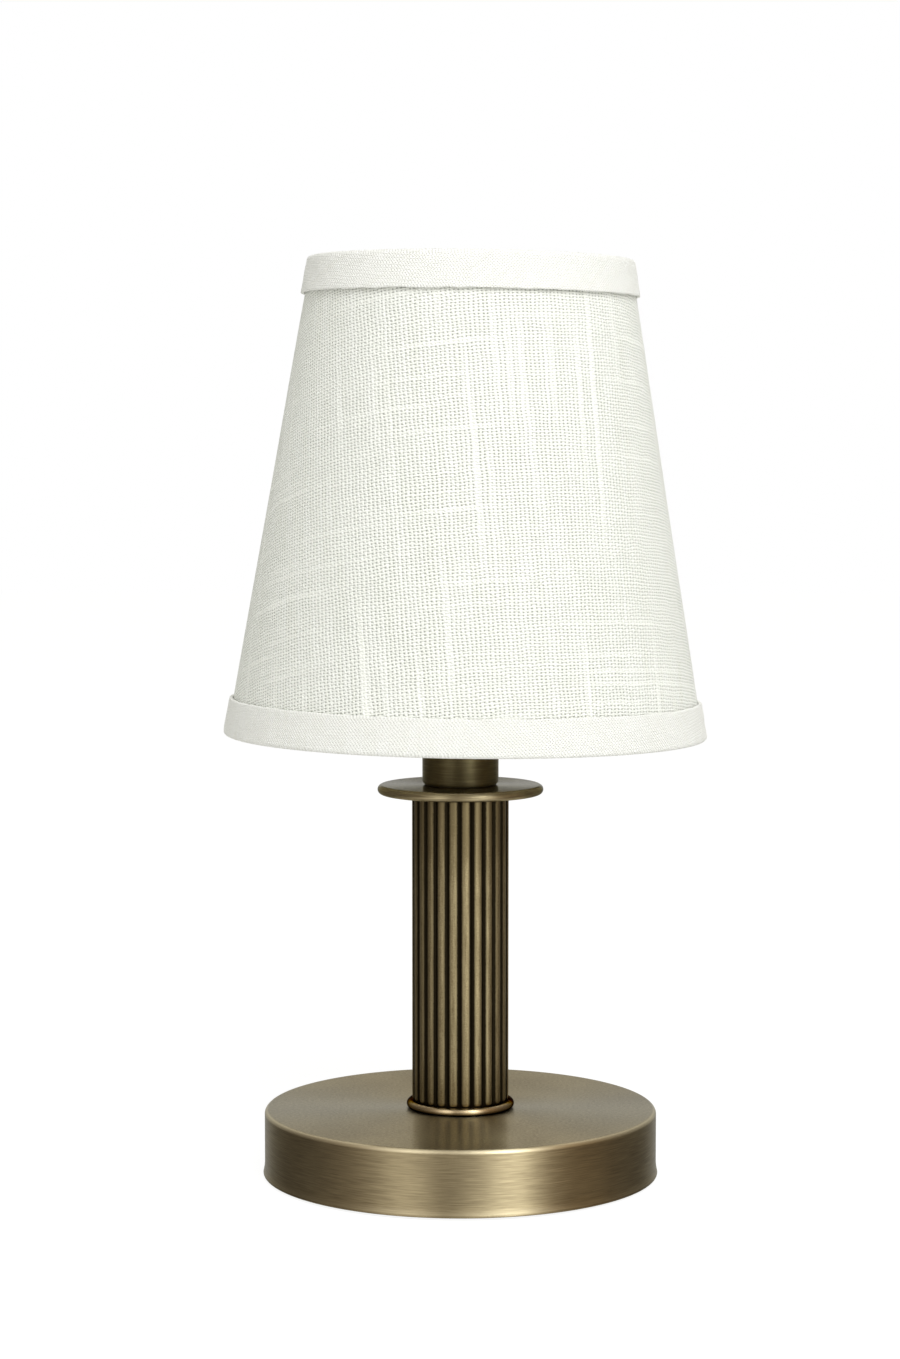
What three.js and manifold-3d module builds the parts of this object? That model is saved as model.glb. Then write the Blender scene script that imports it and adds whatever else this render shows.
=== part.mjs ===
// Accent lamp: a weighted round base, a reeded column with a collar, a small screw-base bulb
// and a tapered linen shade that clips on the bulb.
// Millimetres, +Z up. The origin is the middle of the felt's underside, on the lamp's axis.
// The front faces -Y, and the cord's outlet is at the back, +Y.

import * as THREE from 'three';
import { mergeVertices } from 'three/addons/utils/BufferGeometryUtils.js';
import Module from 'manifold-3d';

const wasm = await Module();
wasm.setup();

// Clearance between two pieces that fit into each other
const FIT = 0.3;

// Chamfer on the edges of moulded and pressed pieces
const CHAMFER = 0.8;

// Steps round a full turn, for large, middle-sized and small round pieces
const LARGE_STEPS = 48;
const MIDDLE_STEPS = 32;
const SMALL_STEPS = 20;

// Base: spun shell, cast weight, felt and the cord's bushing
const BASE_HEIGHT = 22.0;
const BASE_RADIUS = 64.8;
const BASE_FLARE = 0.5;
const BASE_FLARE_HEIGHT = 4.5;
const BASE_EDGE_ROUND = 1.6;
const BASE_SHEET = 1.2;
const BASE_RIM_LIFT = 0.5;
const FELT_THICKNESS = 1.5;
const NUT_POCKET_RADIUS = 21.0;
const NUT_POCKET_DEPTH = 9.2;
const CORD_BORE_RADIUS = 3.6;
const CORD_CHANNEL_ROOM = 1.0;
const BUSHING_WALL = 1.3;
const BUSHING_FLANGE = 1.4;
const BUSHING_FLANGE_THICKNESS = 1.3;
const BUSHING_DEPTH = 7.0;

// Threaded tube through the whole lamp, and its nuts and washers; the slit is in degrees
const ROD_RADIUS = 4.8;
const ROD_BORE_RADIUS = 3.2;
const ROD_END = 1.4;
const NUT_WALL = 2.0;
const NUT_HEIGHT = 4.0;
const WASHER_WIDTH = 6.4;
const WASHER_THICKNESS = 1.3;
const LOCK_WASHER_WIDTH = 3.1;
const LOCK_WASHER_THICKNESS = 1.1;
const LOCK_WASHER_SLIT = 14;

// Column: foot ring, reeded tube and the two bushings that centre it; the phase is in degrees
const RING_PROUD = 1.8;
const RING_HEIGHT = 2.8;
const COLUMN_LENGTH = 101.6;
const COLUMN_RADIUS = 16.0;
const COLUMN_WALL = 2.25;
const REED_COUNT = 24;
const REED_DEPTH = 0.7;
const REED_PHASE = -1;
const CENTRING_LENGTH = 6.0;

// Collar and socket cup
const COLLAR_RADIUS = 27.3;
const COLLAR_THICKNESS = 3.1;
const CUP_ROOM = 0.22;
const CUP_LIP = 0.4;
const CUP_WALL = 0.9;
const CUP_FLOOR = 1.2;
const CUP_EDGE_ROUND = 1.5;

// Socket: bracket, insulating body, screw shell, contact and terminals
const BRACKET_HUB_WALL = 2.1;
const BRACKET_HUB_HEIGHT = 4.5;
const BRACKET_STRAP_WIDTH = 6.4;
const BRACKET_STRAP_THICKNESS = 1.2;
const BRACKET_STRAP_END = 4.0;
const SOCKET_WALL = 2.15;
const SOCKET_LENGTH = 30.0;
const SOCKET_FLOOR = 1.9;
const SOCKET_WIRE_POCKET_RADIUS = 5.0;
const SOCKET_WIRE_POCKET_DEPTH = 2.6;
const TERMINAL_HEIGHT = 5.4;
const TERMINAL_HEAD_RADIUS = 2.3;
const TERMINAL_HEAD_THICKNESS = 1.2;
const TERMINAL_SHANK_RADIUS = 1.0;
const TERMINAL_LENGTH = 3.2;
const RIVET_HEAD_THICKNESS = 0.7;
const SHELL_WALL = 0.4;
const SHELL_INSET = 1.4;
const CONTACT_RADIUS = 2.4;
const CONTACT_HEIGHT = 1.9;

// Bulb with the small screw base, 12 mm across the thread
const CAP_RADIUS = 5.85;
const CAP_WALL = 0.35;
const CAP_PLAIN_EDGE = 1.0;
const CAP_SKIRT = 4.9;
const THREAD_PITCH = 2.54;
const THREAD_DEPTH = 0.4;
const THREAD_TURNS = 4;
const TIP_RADIUS = 2.6;
const TIP_HEIGHT = 1.5;
const INSULATOR_HEIGHT = 2.4;
const GLASS_RADIUS = 17.5;
const GLASS_LENGTH = 75.0;
const GLASS_WALL = 0.6;
const GLASS_GIRDLE = 0.44;
const STEM_RADIUS = 2.2;
const STEM_HEIGHT = 16.0;
const LEAD_RADIUS = 0.35;
const FILAMENT_SPAN = 16.0;
const FILAMENT_RISE = 9.0;
const FILAMENT_SAG = 3.0;

// Shade: tapered drum of linen on a stiff liner, with folded hems over wire rings; the lean is in degrees
const SHADE_HEIGHT = 155.5;
const SHADE_DROP = 105.2;
const SHADE_BOTTOM_RADIUS = 78.0;
const SHADE_TOP_RADIUS = 51.8;
const SHADE_LEAN = 0.7;
const SHADE_SHIFT = 1.5;
const LINEN_THICKNESS = 0.6;
const LINER_THICKNESS = 0.5;
const HEM_HEIGHT = 12.0;
const HEM_THICKNESS = 1.1;
const HEM_TURN_IN = 5.0;
const RING_WIRE_RADIUS = 1.2;

// Bulb clip, which grips half this many degrees each way, and the arms that carry the shade's top ring
const ARM_COUNT = 3;
const ARM_WIRE_RADIUS = 1.0;
const ARM_BEND = 8.0;
const CLIP_WIRE_RADIUS = 0.9;
const CLIP_HALF_ANGLE = 24;
const CLIP_BEND = 4.0;
const CLIP_ROOM = 0.2;
const COLLET_RADIUS = 6.5;
const COLLET_WIRE_RADIUS = 1.1;
const COLLET_LIFT = 5.0;

// Radii and heights that follow from the sizes above
const rodHole = ROD_RADIUS + FIT;
const washerRadius = rodHole + WASHER_WIDTH;
const lockWasherRadius = rodHole + LOCK_WASHER_WIDTH;
const nutHalfFlats = rodHole + NUT_WALL;
const hubRadius = rodHole + BRACKET_HUB_WALL;
const ringRadius = COLUMN_RADIUS + RING_PROUD;
const columnBoreRadius = COLUMN_RADIUS - REED_DEPTH - COLUMN_WALL;
const roofBottom = BASE_HEIGHT - BASE_SHEET;
const ringTop = BASE_HEIGHT + RING_HEIGHT;
const columnTop = ringTop + COLUMN_LENGTH;
const collarTop = columnTop + COLLAR_THICKNESS;
const cupFloorTop = collarTop + CUP_FLOOR;
const lockNutTop = cupFloorTop + NUT_HEIGHT;
const hubTop = lockNutTop + BRACKET_HUB_HEIGHT;
const socketTop = hubTop + SOCKET_LENGTH;
const fastenerHeight = hubTop + TERMINAL_HEIGHT;
const socketFloorTop = fastenerHeight + TERMINAL_SHANK_RADIUS + FIT + SOCKET_FLOOR;
const shellInnerRadius = CAP_RADIUS + FIT;
const socketBoreRadius = shellInnerRadius + SHELL_WALL + FIT;
const socketRadius = socketBoreRadius + SOCKET_WALL;
const screwSeat = socketRadius + FIT;
const rivetSeat = screwSeat + BRACKET_STRAP_THICKNESS;
const socketReach = Math.max(screwSeat + TERMINAL_HEAD_THICKNESS, rivetSeat + RIVET_HEAD_THICKNESS);
const cupInnerRadius = Math.hypot(socketReach, TERMINAL_HEAD_RADIUS) + CUP_ROOM;
const cupRadius = cupInnerRadius + CUP_WALL;
const cupTop = socketTop + CUP_LIP;
const contactTop = socketFloorTop + CONTACT_HEIGHT;
const tipBottom = contactTop + FIT;
const insulatorBottom = tipBottom + TIP_HEIGHT;
const capBottom = insulatorBottom + INSULATOR_HEIGHT;
const threadBottom = capBottom + CAP_PLAIN_EDGE;
const threadTop = threadBottom + THREAD_PITCH * THREAD_TURNS;
const skirtBottom = threadTop + CAP_PLAIN_EDGE;
const capTop = skirtBottom + CAP_SKIRT;
const neckRadius = CAP_RADIUS - CAP_WALL - FIT;
const glassTop = capTop + GLASS_LENGTH;
const glassBottom = skirtBottom + FIT;
const stemTop = capTop + STEM_HEIGHT;
const filamentHeight = stemTop + FILAMENT_RISE;
const weightBottom = FELT_THICKNESS;
const pocketRoof = weightBottom + NUT_POCKET_DEPTH;
const baseInnerRadius = BASE_RADIUS - BASE_SHEET;
const bushingRadius = CORD_BORE_RADIUS + BUSHING_WALL;
const colletHeight = glassTop + COLLET_LIFT;
const shadeBottom = colletHeight - SHADE_DROP;
const flareTop = BASE_RIM_LIFT + BASE_FLARE_HEIGHT;
const cordHeight = (flareTop + BASE_HEIGHT - BASE_EDGE_ROUND) / 2;

// Materials
const brass = new THREE.MeshStandardMaterial({ color: 0x8c8060, roughness: 0.38, metalness: 1.0 });
const darkBrass = new THREE.MeshStandardMaterial({ color: 0x554a34, roughness: 0.42, metalness: 1.0 });
const brightBrass = new THREE.MeshStandardMaterial({ color: 0xb59a58, roughness: 0.3, metalness: 1.0 });
const castIron = new THREE.MeshStandardMaterial({ color: 0x3a3b3d, roughness: 0.8, metalness: 0.6 });
const steel = new THREE.MeshStandardMaterial({ color: 0x9c9fa2, roughness: 0.35, metalness: 1.0 });
const wire = new THREE.MeshStandardMaterial({ color: 0xb9a878, roughness: 0.35, metalness: 1.0 });
const felt = new THREE.MeshStandardMaterial({ color: 0x26332a, roughness: 1.0, metalness: 0.0 });
const nylon = new THREE.MeshStandardMaterial({ color: 0x181716, roughness: 0.55, metalness: 0.0 });
const phenolic = new THREE.MeshStandardMaterial({ color: 0x15130f, roughness: 0.35, metalness: 0.0 });
const fibre = new THREE.MeshStandardMaterial({ color: 0x6b5b45, roughness: 0.8, metalness: 0.0 });
const nickel = new THREE.MeshStandardMaterial({ color: 0xc4c2ba, roughness: 0.3, metalness: 1.0 });
const blackGlass = new THREE.MeshStandardMaterial({ color: 0x141316, roughness: 0.2, metalness: 0.0 });
const solder = new THREE.MeshStandardMaterial({ color: 0x9fa0a2, roughness: 0.45, metalness: 1.0 });
const tungsten = new THREE.MeshStandardMaterial({ color: 0x5c5a58, roughness: 0.4, metalness: 1.0 });
const glass = new THREE.MeshStandardMaterial({
  color: 0xf4f6f5, roughness: 0.03, metalness: 0.0, transparent: true, opacity: 0.3,
});
const linen = new THREE.MeshStandardMaterial({ color: 0xf4f3ea, roughness: 0.95, metalness: 0.0 });
const bias = new THREE.MeshStandardMaterial({ color: 0xf0efe5, roughness: 0.95, metalness: 0.0 });
const styrene = new THREE.MeshStandardMaterial({ color: 0xf7f6f0, roughness: 0.5, metalness: 0.0 });

const lamp = new THREE.Group();

function addPiece(name, geometry, material, parent = lamp) {
  const piece = new THREE.Mesh(facingOut(geometry), material);
  piece.name = name;
  parent.add(piece);
  return piece;
}

// Geometry with shared corners, and with its faces pointing out
function facingOut(source) {
  const geometry = source.clone();
  geometry.deleteAttribute('normal');
  geometry.deleteAttribute('uv');
  const merged = mergeVertices(geometry, 1e-4);
  const corners = merged.attributes.position;
  const index = merged.index.array;
  const a = new THREE.Vector3();
  const b = new THREE.Vector3();
  const c = new THREE.Vector3();
  let volume = 0;
  const kept = [];
  for (let i = 0; i < index.length; i += 3) {
    const [ia, ib, ic] = [index[i], index[i + 1], index[i + 2]];
    if (ia === ib || ib === ic || ic === ia) continue;
    a.fromBufferAttribute(corners, ia);
    b.fromBufferAttribute(corners, ib);
    c.fromBufferAttribute(corners, ic);
    volume += a.dot(b.cross(c));
    kept.push(ia, ib, ic);
  }
  if (volume < 0) kept.reverse();
  merged.setIndex(kept);
  merged.computeVertexNormals();
  return merged;
}

function toSolid(geometry) {
  const merged = facingOut(geometry);
  return new wasm.Manifold(new wasm.Mesh({
    numProp: 3,
    vertProperties: new Float32Array(merged.attributes.position.array),
    triVerts: new Uint32Array(merged.index.array),
  }));
}

function fromSolid(solid) {
  const mesh = solid.getMesh();
  const geometry = new THREE.BufferGeometry();
  geometry.setAttribute('position', new THREE.BufferAttribute(new Float32Array(mesh.vertProperties), 3));
  geometry.setIndex(Array.from(mesh.triVerts));
  return geometry;
}

function cut(geometry, ...tools) {
  const solid = tools.reduce((rest, tool) => rest.subtract(toSolid(tool)), toSolid(geometry));
  return fromSolid(solid);
}

function join(...geometries) {
  const solids = geometries.map(toSolid);
  return fromSolid(solids.reduce((sum, solid) => sum.add(solid)));
}

// Solid of revolution about +Z: each point of the outline is [radius, height]
function turned(outline, steps) {
  const points = outline.map(([radius, height]) => new THREE.Vector2(radius, height));
  const geometry = new THREE.LatheGeometry(points, steps);
  geometry.rotateX(Math.PI / 2);
  return geometry;
}

// Ring of revolution: the outline closes on itself
function turnedRing(outline, steps) {
  return turned([...outline, outline[0]], steps);
}

function flatRing(outer, inner, bottom, top, steps) {
  return turnedRing([[inner, bottom], [outer, bottom], [outer, top], [inner, top]], steps);
}

function disc(radius, bottom, top, steps) {
  return turned([[0, bottom], [radius, bottom], [radius, top], [0, top]], steps);
}

function box(xLow, xHigh, yLow, yHigh, zLow, zHigh) {
  const geometry = new THREE.BoxGeometry(xHigh - xLow, yHigh - yLow, zHigh - zLow);
  geometry.translate((xLow + xHigh) / 2, (yLow + yHigh) / 2, (zLow + zHigh) / 2);
  return geometry;
}

// Points of an arc in an outline, from one angle to another in degrees
function arc(centreRadius, centreHeight, radius, fromDegrees, toDegrees, steps) {
  const points = [];
  for (let i = 0; i <= steps; i += 1) {
    const angle = THREE.MathUtils.degToRad(fromDegrees + (toDegrees - fromDegrees) * i / steps);
    points.push([centreRadius + radius * Math.cos(angle), centreHeight + radius * Math.sin(angle)]);
  }
  return points;
}

// Full circle as a chain of arcs, so that it gets enough steps
function circlePath(path, radius, arcs) {
  for (let i = 0; i < arcs; i += 1) {
    path.absarc(0, 0, radius, 2 * Math.PI * i / arcs, 2 * Math.PI * (i + 1) / arcs, false);
  }
  return path;
}

function wireAlong(points, radius, sides, steps) {
  const section = new THREE.Shape();
  for (let i = 0; i < sides; i += 1) {
    const angle = 2 * Math.PI * i / sides;
    const x = radius * Math.cos(angle);
    const y = radius * Math.sin(angle);
    if (i === 0) section.moveTo(x, y);
    else section.lineTo(x, y);
  }
  const path = new THREE.CatmullRomCurve3(points, false, 'centripetal');
  return new THREE.ExtrudeGeometry(section, { extrudePath: path, steps });
}

// Piece turned about +Z that is laid along another axis, its start at a point
function along(geometry, direction, start) {
  const turn = new THREE.Quaternion().setFromUnitVectors(new THREE.Vector3(0, 0, 1), direction);
  const placed = geometry.clone();
  placed.applyQuaternion(turn);
  placed.translate(start.x, start.y, start.z);
  return placed;
}

function nut(bottom) {
  const shape = new THREE.Shape();
  for (let i = 0; i < 6; i += 1) {
    const angle = Math.PI / 3 * i;
    const corner = nutHalfFlats / Math.cos(Math.PI / 6);
    if (i === 0) shape.moveTo(corner, 0);
    else shape.lineTo(corner * Math.cos(angle), corner * Math.sin(angle));
  }
  shape.holes.push(circlePath(new THREE.Path(), rodHole, 6));
  const geometry = new THREE.ExtrudeGeometry(shape, {
    depth: NUT_HEIGHT, bevelEnabled: false, curveSegments: 2,
  });
  geometry.translate(0, 0, bottom);
  return geometry;
}

// Base

function baseShell() {
  const rimRadius = BASE_RADIUS + BASE_FLARE;
  const outline = [
    [baseInnerRadius, BASE_RIM_LIFT],
    [rimRadius - BASE_FLARE, BASE_RIM_LIFT],
    [rimRadius, BASE_RIM_LIFT + BASE_FLARE],
    [BASE_RADIUS + BASE_FLARE / 4, BASE_RIM_LIFT + BASE_FLARE_HEIGHT / 2],
    [BASE_RADIUS, flareTop],
    ...arc(BASE_RADIUS - BASE_EDGE_ROUND, BASE_HEIGHT - BASE_EDGE_ROUND, BASE_EDGE_ROUND, 0, 90, 4),
    [rodHole, BASE_HEIGHT],
    [rodHole, roofBottom],
    [baseInnerRadius, roofBottom],
  ];
  const holeRadius = bushingRadius + FIT;
  const hole = along(
    disc(holeRadius, 0, 3 * BASE_SHEET, SMALL_STEPS),
    new THREE.Vector3(0, 1, 0),
    new THREE.Vector3(0, BASE_RADIUS - 2 * BASE_SHEET, cordHeight),
  );
  return cut(turnedRing(outline, LARGE_STEPS), hole);
}

function baseWeight() {
  const radius = baseInnerRadius - 2 * FIT;
  const body = flatRing(radius, rodHole, weightBottom, roofBottom, LARGE_STEPS);
  const pocket = disc(NUT_POCKET_RADIUS, weightBottom - 1, pocketRoof, SMALL_STEPS);
  const channelHalf = bushingRadius + CORD_CHANNEL_ROOM;
  const channelStart = washerRadius + CORD_CHANNEL_ROOM;
  const channelTop = cordHeight + channelHalf;
  const channel = box(-channelHalf, channelHalf, channelStart, radius + 1, weightBottom - 1, channelTop);
  return cut(body, pocket, channel);
}

function feltPad() {
  return disc(baseInnerRadius - 2 * FIT, 0, FELT_THICKNESS, LARGE_STEPS);
}

function cordBushing() {
  const flangeRadius = bushingRadius + BUSHING_FLANGE;
  const outline = [
    [CORD_BORE_RADIUS, 0],
    [bushingRadius, 0],
    [bushingRadius, BUSHING_DEPTH],
    [flangeRadius, BUSHING_DEPTH],
    [flangeRadius, BUSHING_DEPTH + BUSHING_FLANGE_THICKNESS * 0.6],
    [flangeRadius - BUSHING_FLANGE_THICKNESS * 0.4, BUSHING_DEPTH + BUSHING_FLANGE_THICKNESS],
    [CORD_BORE_RADIUS, BUSHING_DEPTH + BUSHING_FLANGE_THICKNESS],
  ];
  const start = new THREE.Vector3(0, BASE_RADIUS + FIT - BUSHING_DEPTH, cordHeight);
  return along(turnedRing(outline, SMALL_STEPS), new THREE.Vector3(0, 1, 0), start);
}

// Threaded tube and its fasteners

function lockWasher(top) {
  const slit = THREE.MathUtils.degToRad(LOCK_WASHER_SLIT) / 2;
  const arcs = 8;
  const span = (2 * Math.PI - 2 * slit) / arcs;
  const shape = new THREE.Shape();
  for (let i = 0; i < arcs; i += 1) {
    shape.absarc(0, 0, lockWasherRadius, slit + span * i, slit + span * (i + 1), false);
  }
  for (let i = arcs; i > 0; i -= 1) {
    shape.absarc(0, 0, rodHole, slit + span * i, slit + span * (i - 1), true);
  }
  const geometry = new THREE.ExtrudeGeometry(shape, {
    depth: LOCK_WASHER_THICKNESS, bevelEnabled: false, curveSegments: 2,
  });
  geometry.translate(0, 0, top - LOCK_WASHER_THICKNESS);
  return geometry;
}

function threadedRod() {
  const washerBottom = pocketRoof - WASHER_THICKNESS;
  const nutBottom = washerBottom - LOCK_WASHER_THICKNESS - NUT_HEIGHT;
  return flatRing(ROD_RADIUS, ROD_BORE_RADIUS, nutBottom - ROD_END, hubTop - FIT, SMALL_STEPS);
}

// Column

function footRing() {
  const round = RING_HEIGHT / 2;
  const outline = [
    [rodHole, BASE_HEIGHT],
    ...arc(ringRadius - round, BASE_HEIGHT + round, round, -90, 90, 4),
    [rodHole, ringTop],
  ];
  return turnedRing(outline, LARGE_STEPS);
}

// Each reed is one arc that runs from the bottom of a groove over its crest to the next groove
function reededColumn() {
  const halfPitch = Math.PI / REED_COUNT;
  const valleyX = (COLUMN_RADIUS - REED_DEPTH) * Math.cos(halfPitch);
  const valleyY = (COLUMN_RADIUS - REED_DEPTH) * Math.sin(halfPitch);
  const centre = (COLUMN_RADIUS ** 2 - valleyX ** 2 - valleyY ** 2) / (2 * (COLUMN_RADIUS - valleyX));
  const reedRadius = COLUMN_RADIUS - centre;
  const reedHalfAngle = Math.atan2(valleyY, valleyX - centre);
  const shape = new THREE.Shape();
  for (let i = 0; i < REED_COUNT; i += 1) {
    const angle = halfPitch * (2 * i + 1);
    shape.absarc(
      centre * Math.cos(angle), centre * Math.sin(angle),
      reedRadius, angle - reedHalfAngle, angle + reedHalfAngle, false,
    );
  }
  shape.holes.push(circlePath(new THREE.Path(), columnBoreRadius, 8));
  const geometry = new THREE.ExtrudeGeometry(shape, {
    depth: COLUMN_LENGTH, bevelEnabled: false, curveSegments: 3,
  });
  geometry.rotateZ(-Math.PI / 2 + THREE.MathUtils.degToRad(REED_PHASE));
  geometry.translate(0, 0, ringTop);
  return geometry;
}

function centringBushing(bottom) {
  const radius = columnBoreRadius - FIT;
  return turnedRing([
    [rodHole, bottom],
    [radius - CHAMFER, bottom],
    [radius, bottom + CHAMFER],
    [radius, bottom + CENTRING_LENGTH - CHAMFER],
    [radius - CHAMFER, bottom + CENTRING_LENGTH],
    [rodHole, bottom + CENTRING_LENGTH],
  ], MIDDLE_STEPS);
}

function collarDisk() {
  const round = COLLAR_THICKNESS / 2;
  const outline = [
    [rodHole, columnTop],
    ...arc(COLLAR_RADIUS - round, columnTop + round, round, -90, 90, 6),
    [rodHole, collarTop],
  ];
  return turnedRing(outline, LARGE_STEPS);
}

function socketCup() {
  return turnedRing([
    [rodHole, collarTop],
    ...arc(cupRadius - CUP_EDGE_ROUND, collarTop + CUP_EDGE_ROUND, CUP_EDGE_ROUND, -90, 0, 4),
    [cupRadius, cupTop],
    [cupInnerRadius, cupTop],
    [cupInnerRadius, cupFloorTop],
    [rodHole, cupFloorTop],
  ], MIDDLE_STEPS);
}

// Socket

function socketBracket() {
  const strapTop = fastenerHeight + BRACKET_STRAP_END;
  const half = BRACKET_STRAP_WIDTH / 2;
  const hub = disc(hubRadius, lockNutTop, hubTop, SMALL_STEPS);
  const tongue = box(0, rivetSeat, -half, half, lockNutTop, lockNutTop + BRACKET_STRAP_THICKNESS);
  const strap = box(screwSeat, rivetSeat, -half, half, lockNutTop, strapTop);
  const rodPassage = disc(rodHole, lockNutTop - 1, hubTop + 1, SMALL_STEPS);
  const rivetHole = along(
    disc(TERMINAL_SHANK_RADIUS + FIT, 0, 3 * BRACKET_STRAP_THICKNESS, SMALL_STEPS / 2),
    new THREE.Vector3(1, 0, 0),
    new THREE.Vector3(screwSeat - BRACKET_STRAP_THICKNESS, 0, fastenerHeight),
  );
  return cut(join(hub, tongue, strap), rodPassage, rivetHole);
}

function fastenerHole(direction) {
  return along(
    disc(TERMINAL_SHANK_RADIUS + FIT, 0, TERMINAL_LENGTH + 2 * FIT + 1, SMALL_STEPS / 2),
    direction,
    direction.clone().multiplyScalar(socketRadius - TERMINAL_LENGTH - FIT)
      .add(new THREE.Vector3(0, 0, fastenerHeight)),
  );
}

function socketBody() {
  const body = turned([
    [0, hubTop],
    [socketRadius, hubTop],
    [socketRadius, socketTop - CHAMFER],
    [socketRadius - CHAMFER, socketTop],
    [0, socketTop],
  ], MIDDLE_STEPS);
  const bore = disc(socketBoreRadius, socketFloorTop, socketTop + 1, MIDDLE_STEPS);
  const wirePocketTop = hubTop + SOCKET_WIRE_POCKET_DEPTH;
  const wirePocket = disc(SOCKET_WIRE_POCKET_RADIUS, hubTop - 1, wirePocketTop, SMALL_STEPS);
  const holes = [[1, 0], [0, 1], [0, -1]].map(([x, y]) => fastenerHole(new THREE.Vector3(x, y, 0)));
  return cut(body, bore, wirePocket, ...holes);
}

function screwShell() {
  const outer = shellInnerRadius + SHELL_WALL;
  const floorHole = CONTACT_RADIUS + 2 * FIT;
  return turnedRing([
    [floorHole, socketFloorTop],
    [outer, socketFloorTop],
    [outer, socketTop - SHELL_INSET],
    [shellInnerRadius, socketTop - SHELL_INSET],
    [shellInnerRadius, socketFloorTop + SHELL_WALL],
    [floorHole, socketFloorTop + SHELL_WALL],
  ], MIDDLE_STEPS);
}

function centreContact() {
  return turned([
    [0, socketFloorTop],
    [CONTACT_RADIUS, socketFloorTop],
    [CONTACT_RADIUS, socketFloorTop + CONTACT_HEIGHT * 0.5],
    [CONTACT_RADIUS * 0.6, contactTop],
    [0, contactTop],
  ], SMALL_STEPS);
}

// Headed pin laid along a direction: its shank ends in the socket body
function headedPin(direction, seat, headThickness, slotted) {
  const pin = turned([
    [0, socketRadius - TERMINAL_LENGTH],
    [TERMINAL_SHANK_RADIUS, socketRadius - TERMINAL_LENGTH],
    [TERMINAL_SHANK_RADIUS, seat],
    [TERMINAL_HEAD_RADIUS, seat],
    [TERMINAL_HEAD_RADIUS, seat + headThickness * 0.7],
    [TERMINAL_HEAD_RADIUS * 0.8, seat + headThickness],
    [0, seat + headThickness],
  ], SMALL_STEPS / 2);
  const slotTop = seat + headThickness;
  const slotHalf = TERMINAL_SHANK_RADIUS / 3;
  const slotReach = 2 * TERMINAL_HEAD_RADIUS;
  const slot = box(-slotReach, slotReach, -slotHalf, slotHalf, slotTop - headThickness / 2, slotTop + 1);
  const centre = new THREE.Vector3(0, 0, fastenerHeight);
  return along(slotted ? cut(pin, slot) : pin, direction, centre);
}

function addSocket() {
  addPiece('socket_bracket', socketBracket(), steel);
  addPiece('socket_body', socketBody(), phenolic);
  addPiece('socket_screw_shell', screwShell(), brightBrass);
  addPiece('socket_centre_contact', centreContact(), brightBrass);
  addPiece(
    'bracket_rivet',
    headedPin(new THREE.Vector3(1, 0, 0), rivetSeat, RIVET_HEAD_THICKNESS, false), steel,
  );
  addPiece(
    'terminal_screw_back',
    headedPin(new THREE.Vector3(0, 1, 0), screwSeat, TERMINAL_HEAD_THICKNESS, true), brightBrass,
  );
  addPiece(
    'terminal_screw_front',
    headedPin(new THREE.Vector3(0, -1, 0), screwSeat, TERMINAL_HEAD_THICKNESS, true), nickel,
  );
}

// Bulb

// Outside of the glass as a smooth curve: [radius, height], from the neck up to the tip
function glassOutline() {
  const shoulders = [
    [neckRadius, 0.0],
    [neckRadius * 1.15, 0.03],
    [GLASS_RADIUS * 0.72, GLASS_GIRDLE * 0.45],
    [GLASS_RADIUS, GLASS_GIRDLE],
    [GLASS_RADIUS * 0.82, 0.68],
    [GLASS_RADIUS * 0.42, 0.9],
    [GLASS_RADIUS * 0.16, 0.985],
    [0, 1.0],
  ];
  const points = shoulders.map(
    ([radius, share]) => new THREE.Vector2(radius, capTop + GLASS_LENGTH * share),
  );
  return new THREE.SplineCurve(points).getPoints(14).map((point) => [Math.max(point.x, 0), point.y]);
}

function glassRadiusAt(height) {
  const outline = glassOutline();
  for (let i = 1; i < outline.length; i += 1) {
    const [lowRadius, lowHeight] = outline[i - 1];
    const [highRadius, highHeight] = outline[i];
    if (height <= highHeight) {
      const share = (height - lowHeight) / (highHeight - lowHeight);
      return lowRadius + (highRadius - lowRadius) * share;
    }
  }
  return 0;
}

function bulbGlass() {
  const outside = glassOutline();
  const inside = outside.slice(0, -1).map(([radius, height], i) => {
    const [nextRadius, nextHeight] = outside[i + 1];
    const run = Math.hypot(nextRadius - radius, nextHeight - height);
    return [
      Math.max(radius - GLASS_WALL * (nextHeight - height) / run, GLASS_WALL),
      height + GLASS_WALL * (nextRadius - radius) / run,
    ];
  });
  return turned([
    [0, glassTop - GLASS_WALL],
    ...inside.reverse(),
    [neckRadius - GLASS_WALL, glassBottom],
    [neckRadius, glassBottom],
    ...outside,
  ], SMALL_STEPS);
}

// Screw cap with a rolled thread, and a plain skirt above it
function bulbCap() {
  const threadSteps = 2;
  const outline = [[CAP_RADIUS - THREAD_DEPTH, capBottom]];
  for (let i = 0; i <= THREAD_TURNS * threadSteps; i += 1) {
    const swell = (1 - Math.cos(2 * Math.PI * i / threadSteps)) / 2;
    outline.push([
      CAP_RADIUS - THREAD_DEPTH * (1 - swell),
      threadBottom + THREAD_PITCH * i / threadSteps,
    ]);
  }
  const inner = CAP_RADIUS - CAP_WALL - THREAD_DEPTH;
  return turnedRing([
    ...outline,
    [CAP_RADIUS, skirtBottom],
    [CAP_RADIUS, capTop],
    [CAP_RADIUS - CAP_WALL, capTop],
    [CAP_RADIUS - CAP_WALL, skirtBottom],
    [inner, skirtBottom],
    [inner, capBottom],
  ], SMALL_STEPS);
}

function bulbInsulator() {
  return turned([
    [0, insulatorBottom],
    [TIP_RADIUS + 0.6, insulatorBottom],
    [CAP_RADIUS - THREAD_DEPTH, capBottom],
    [0, capBottom],
  ], SMALL_STEPS);
}

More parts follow.
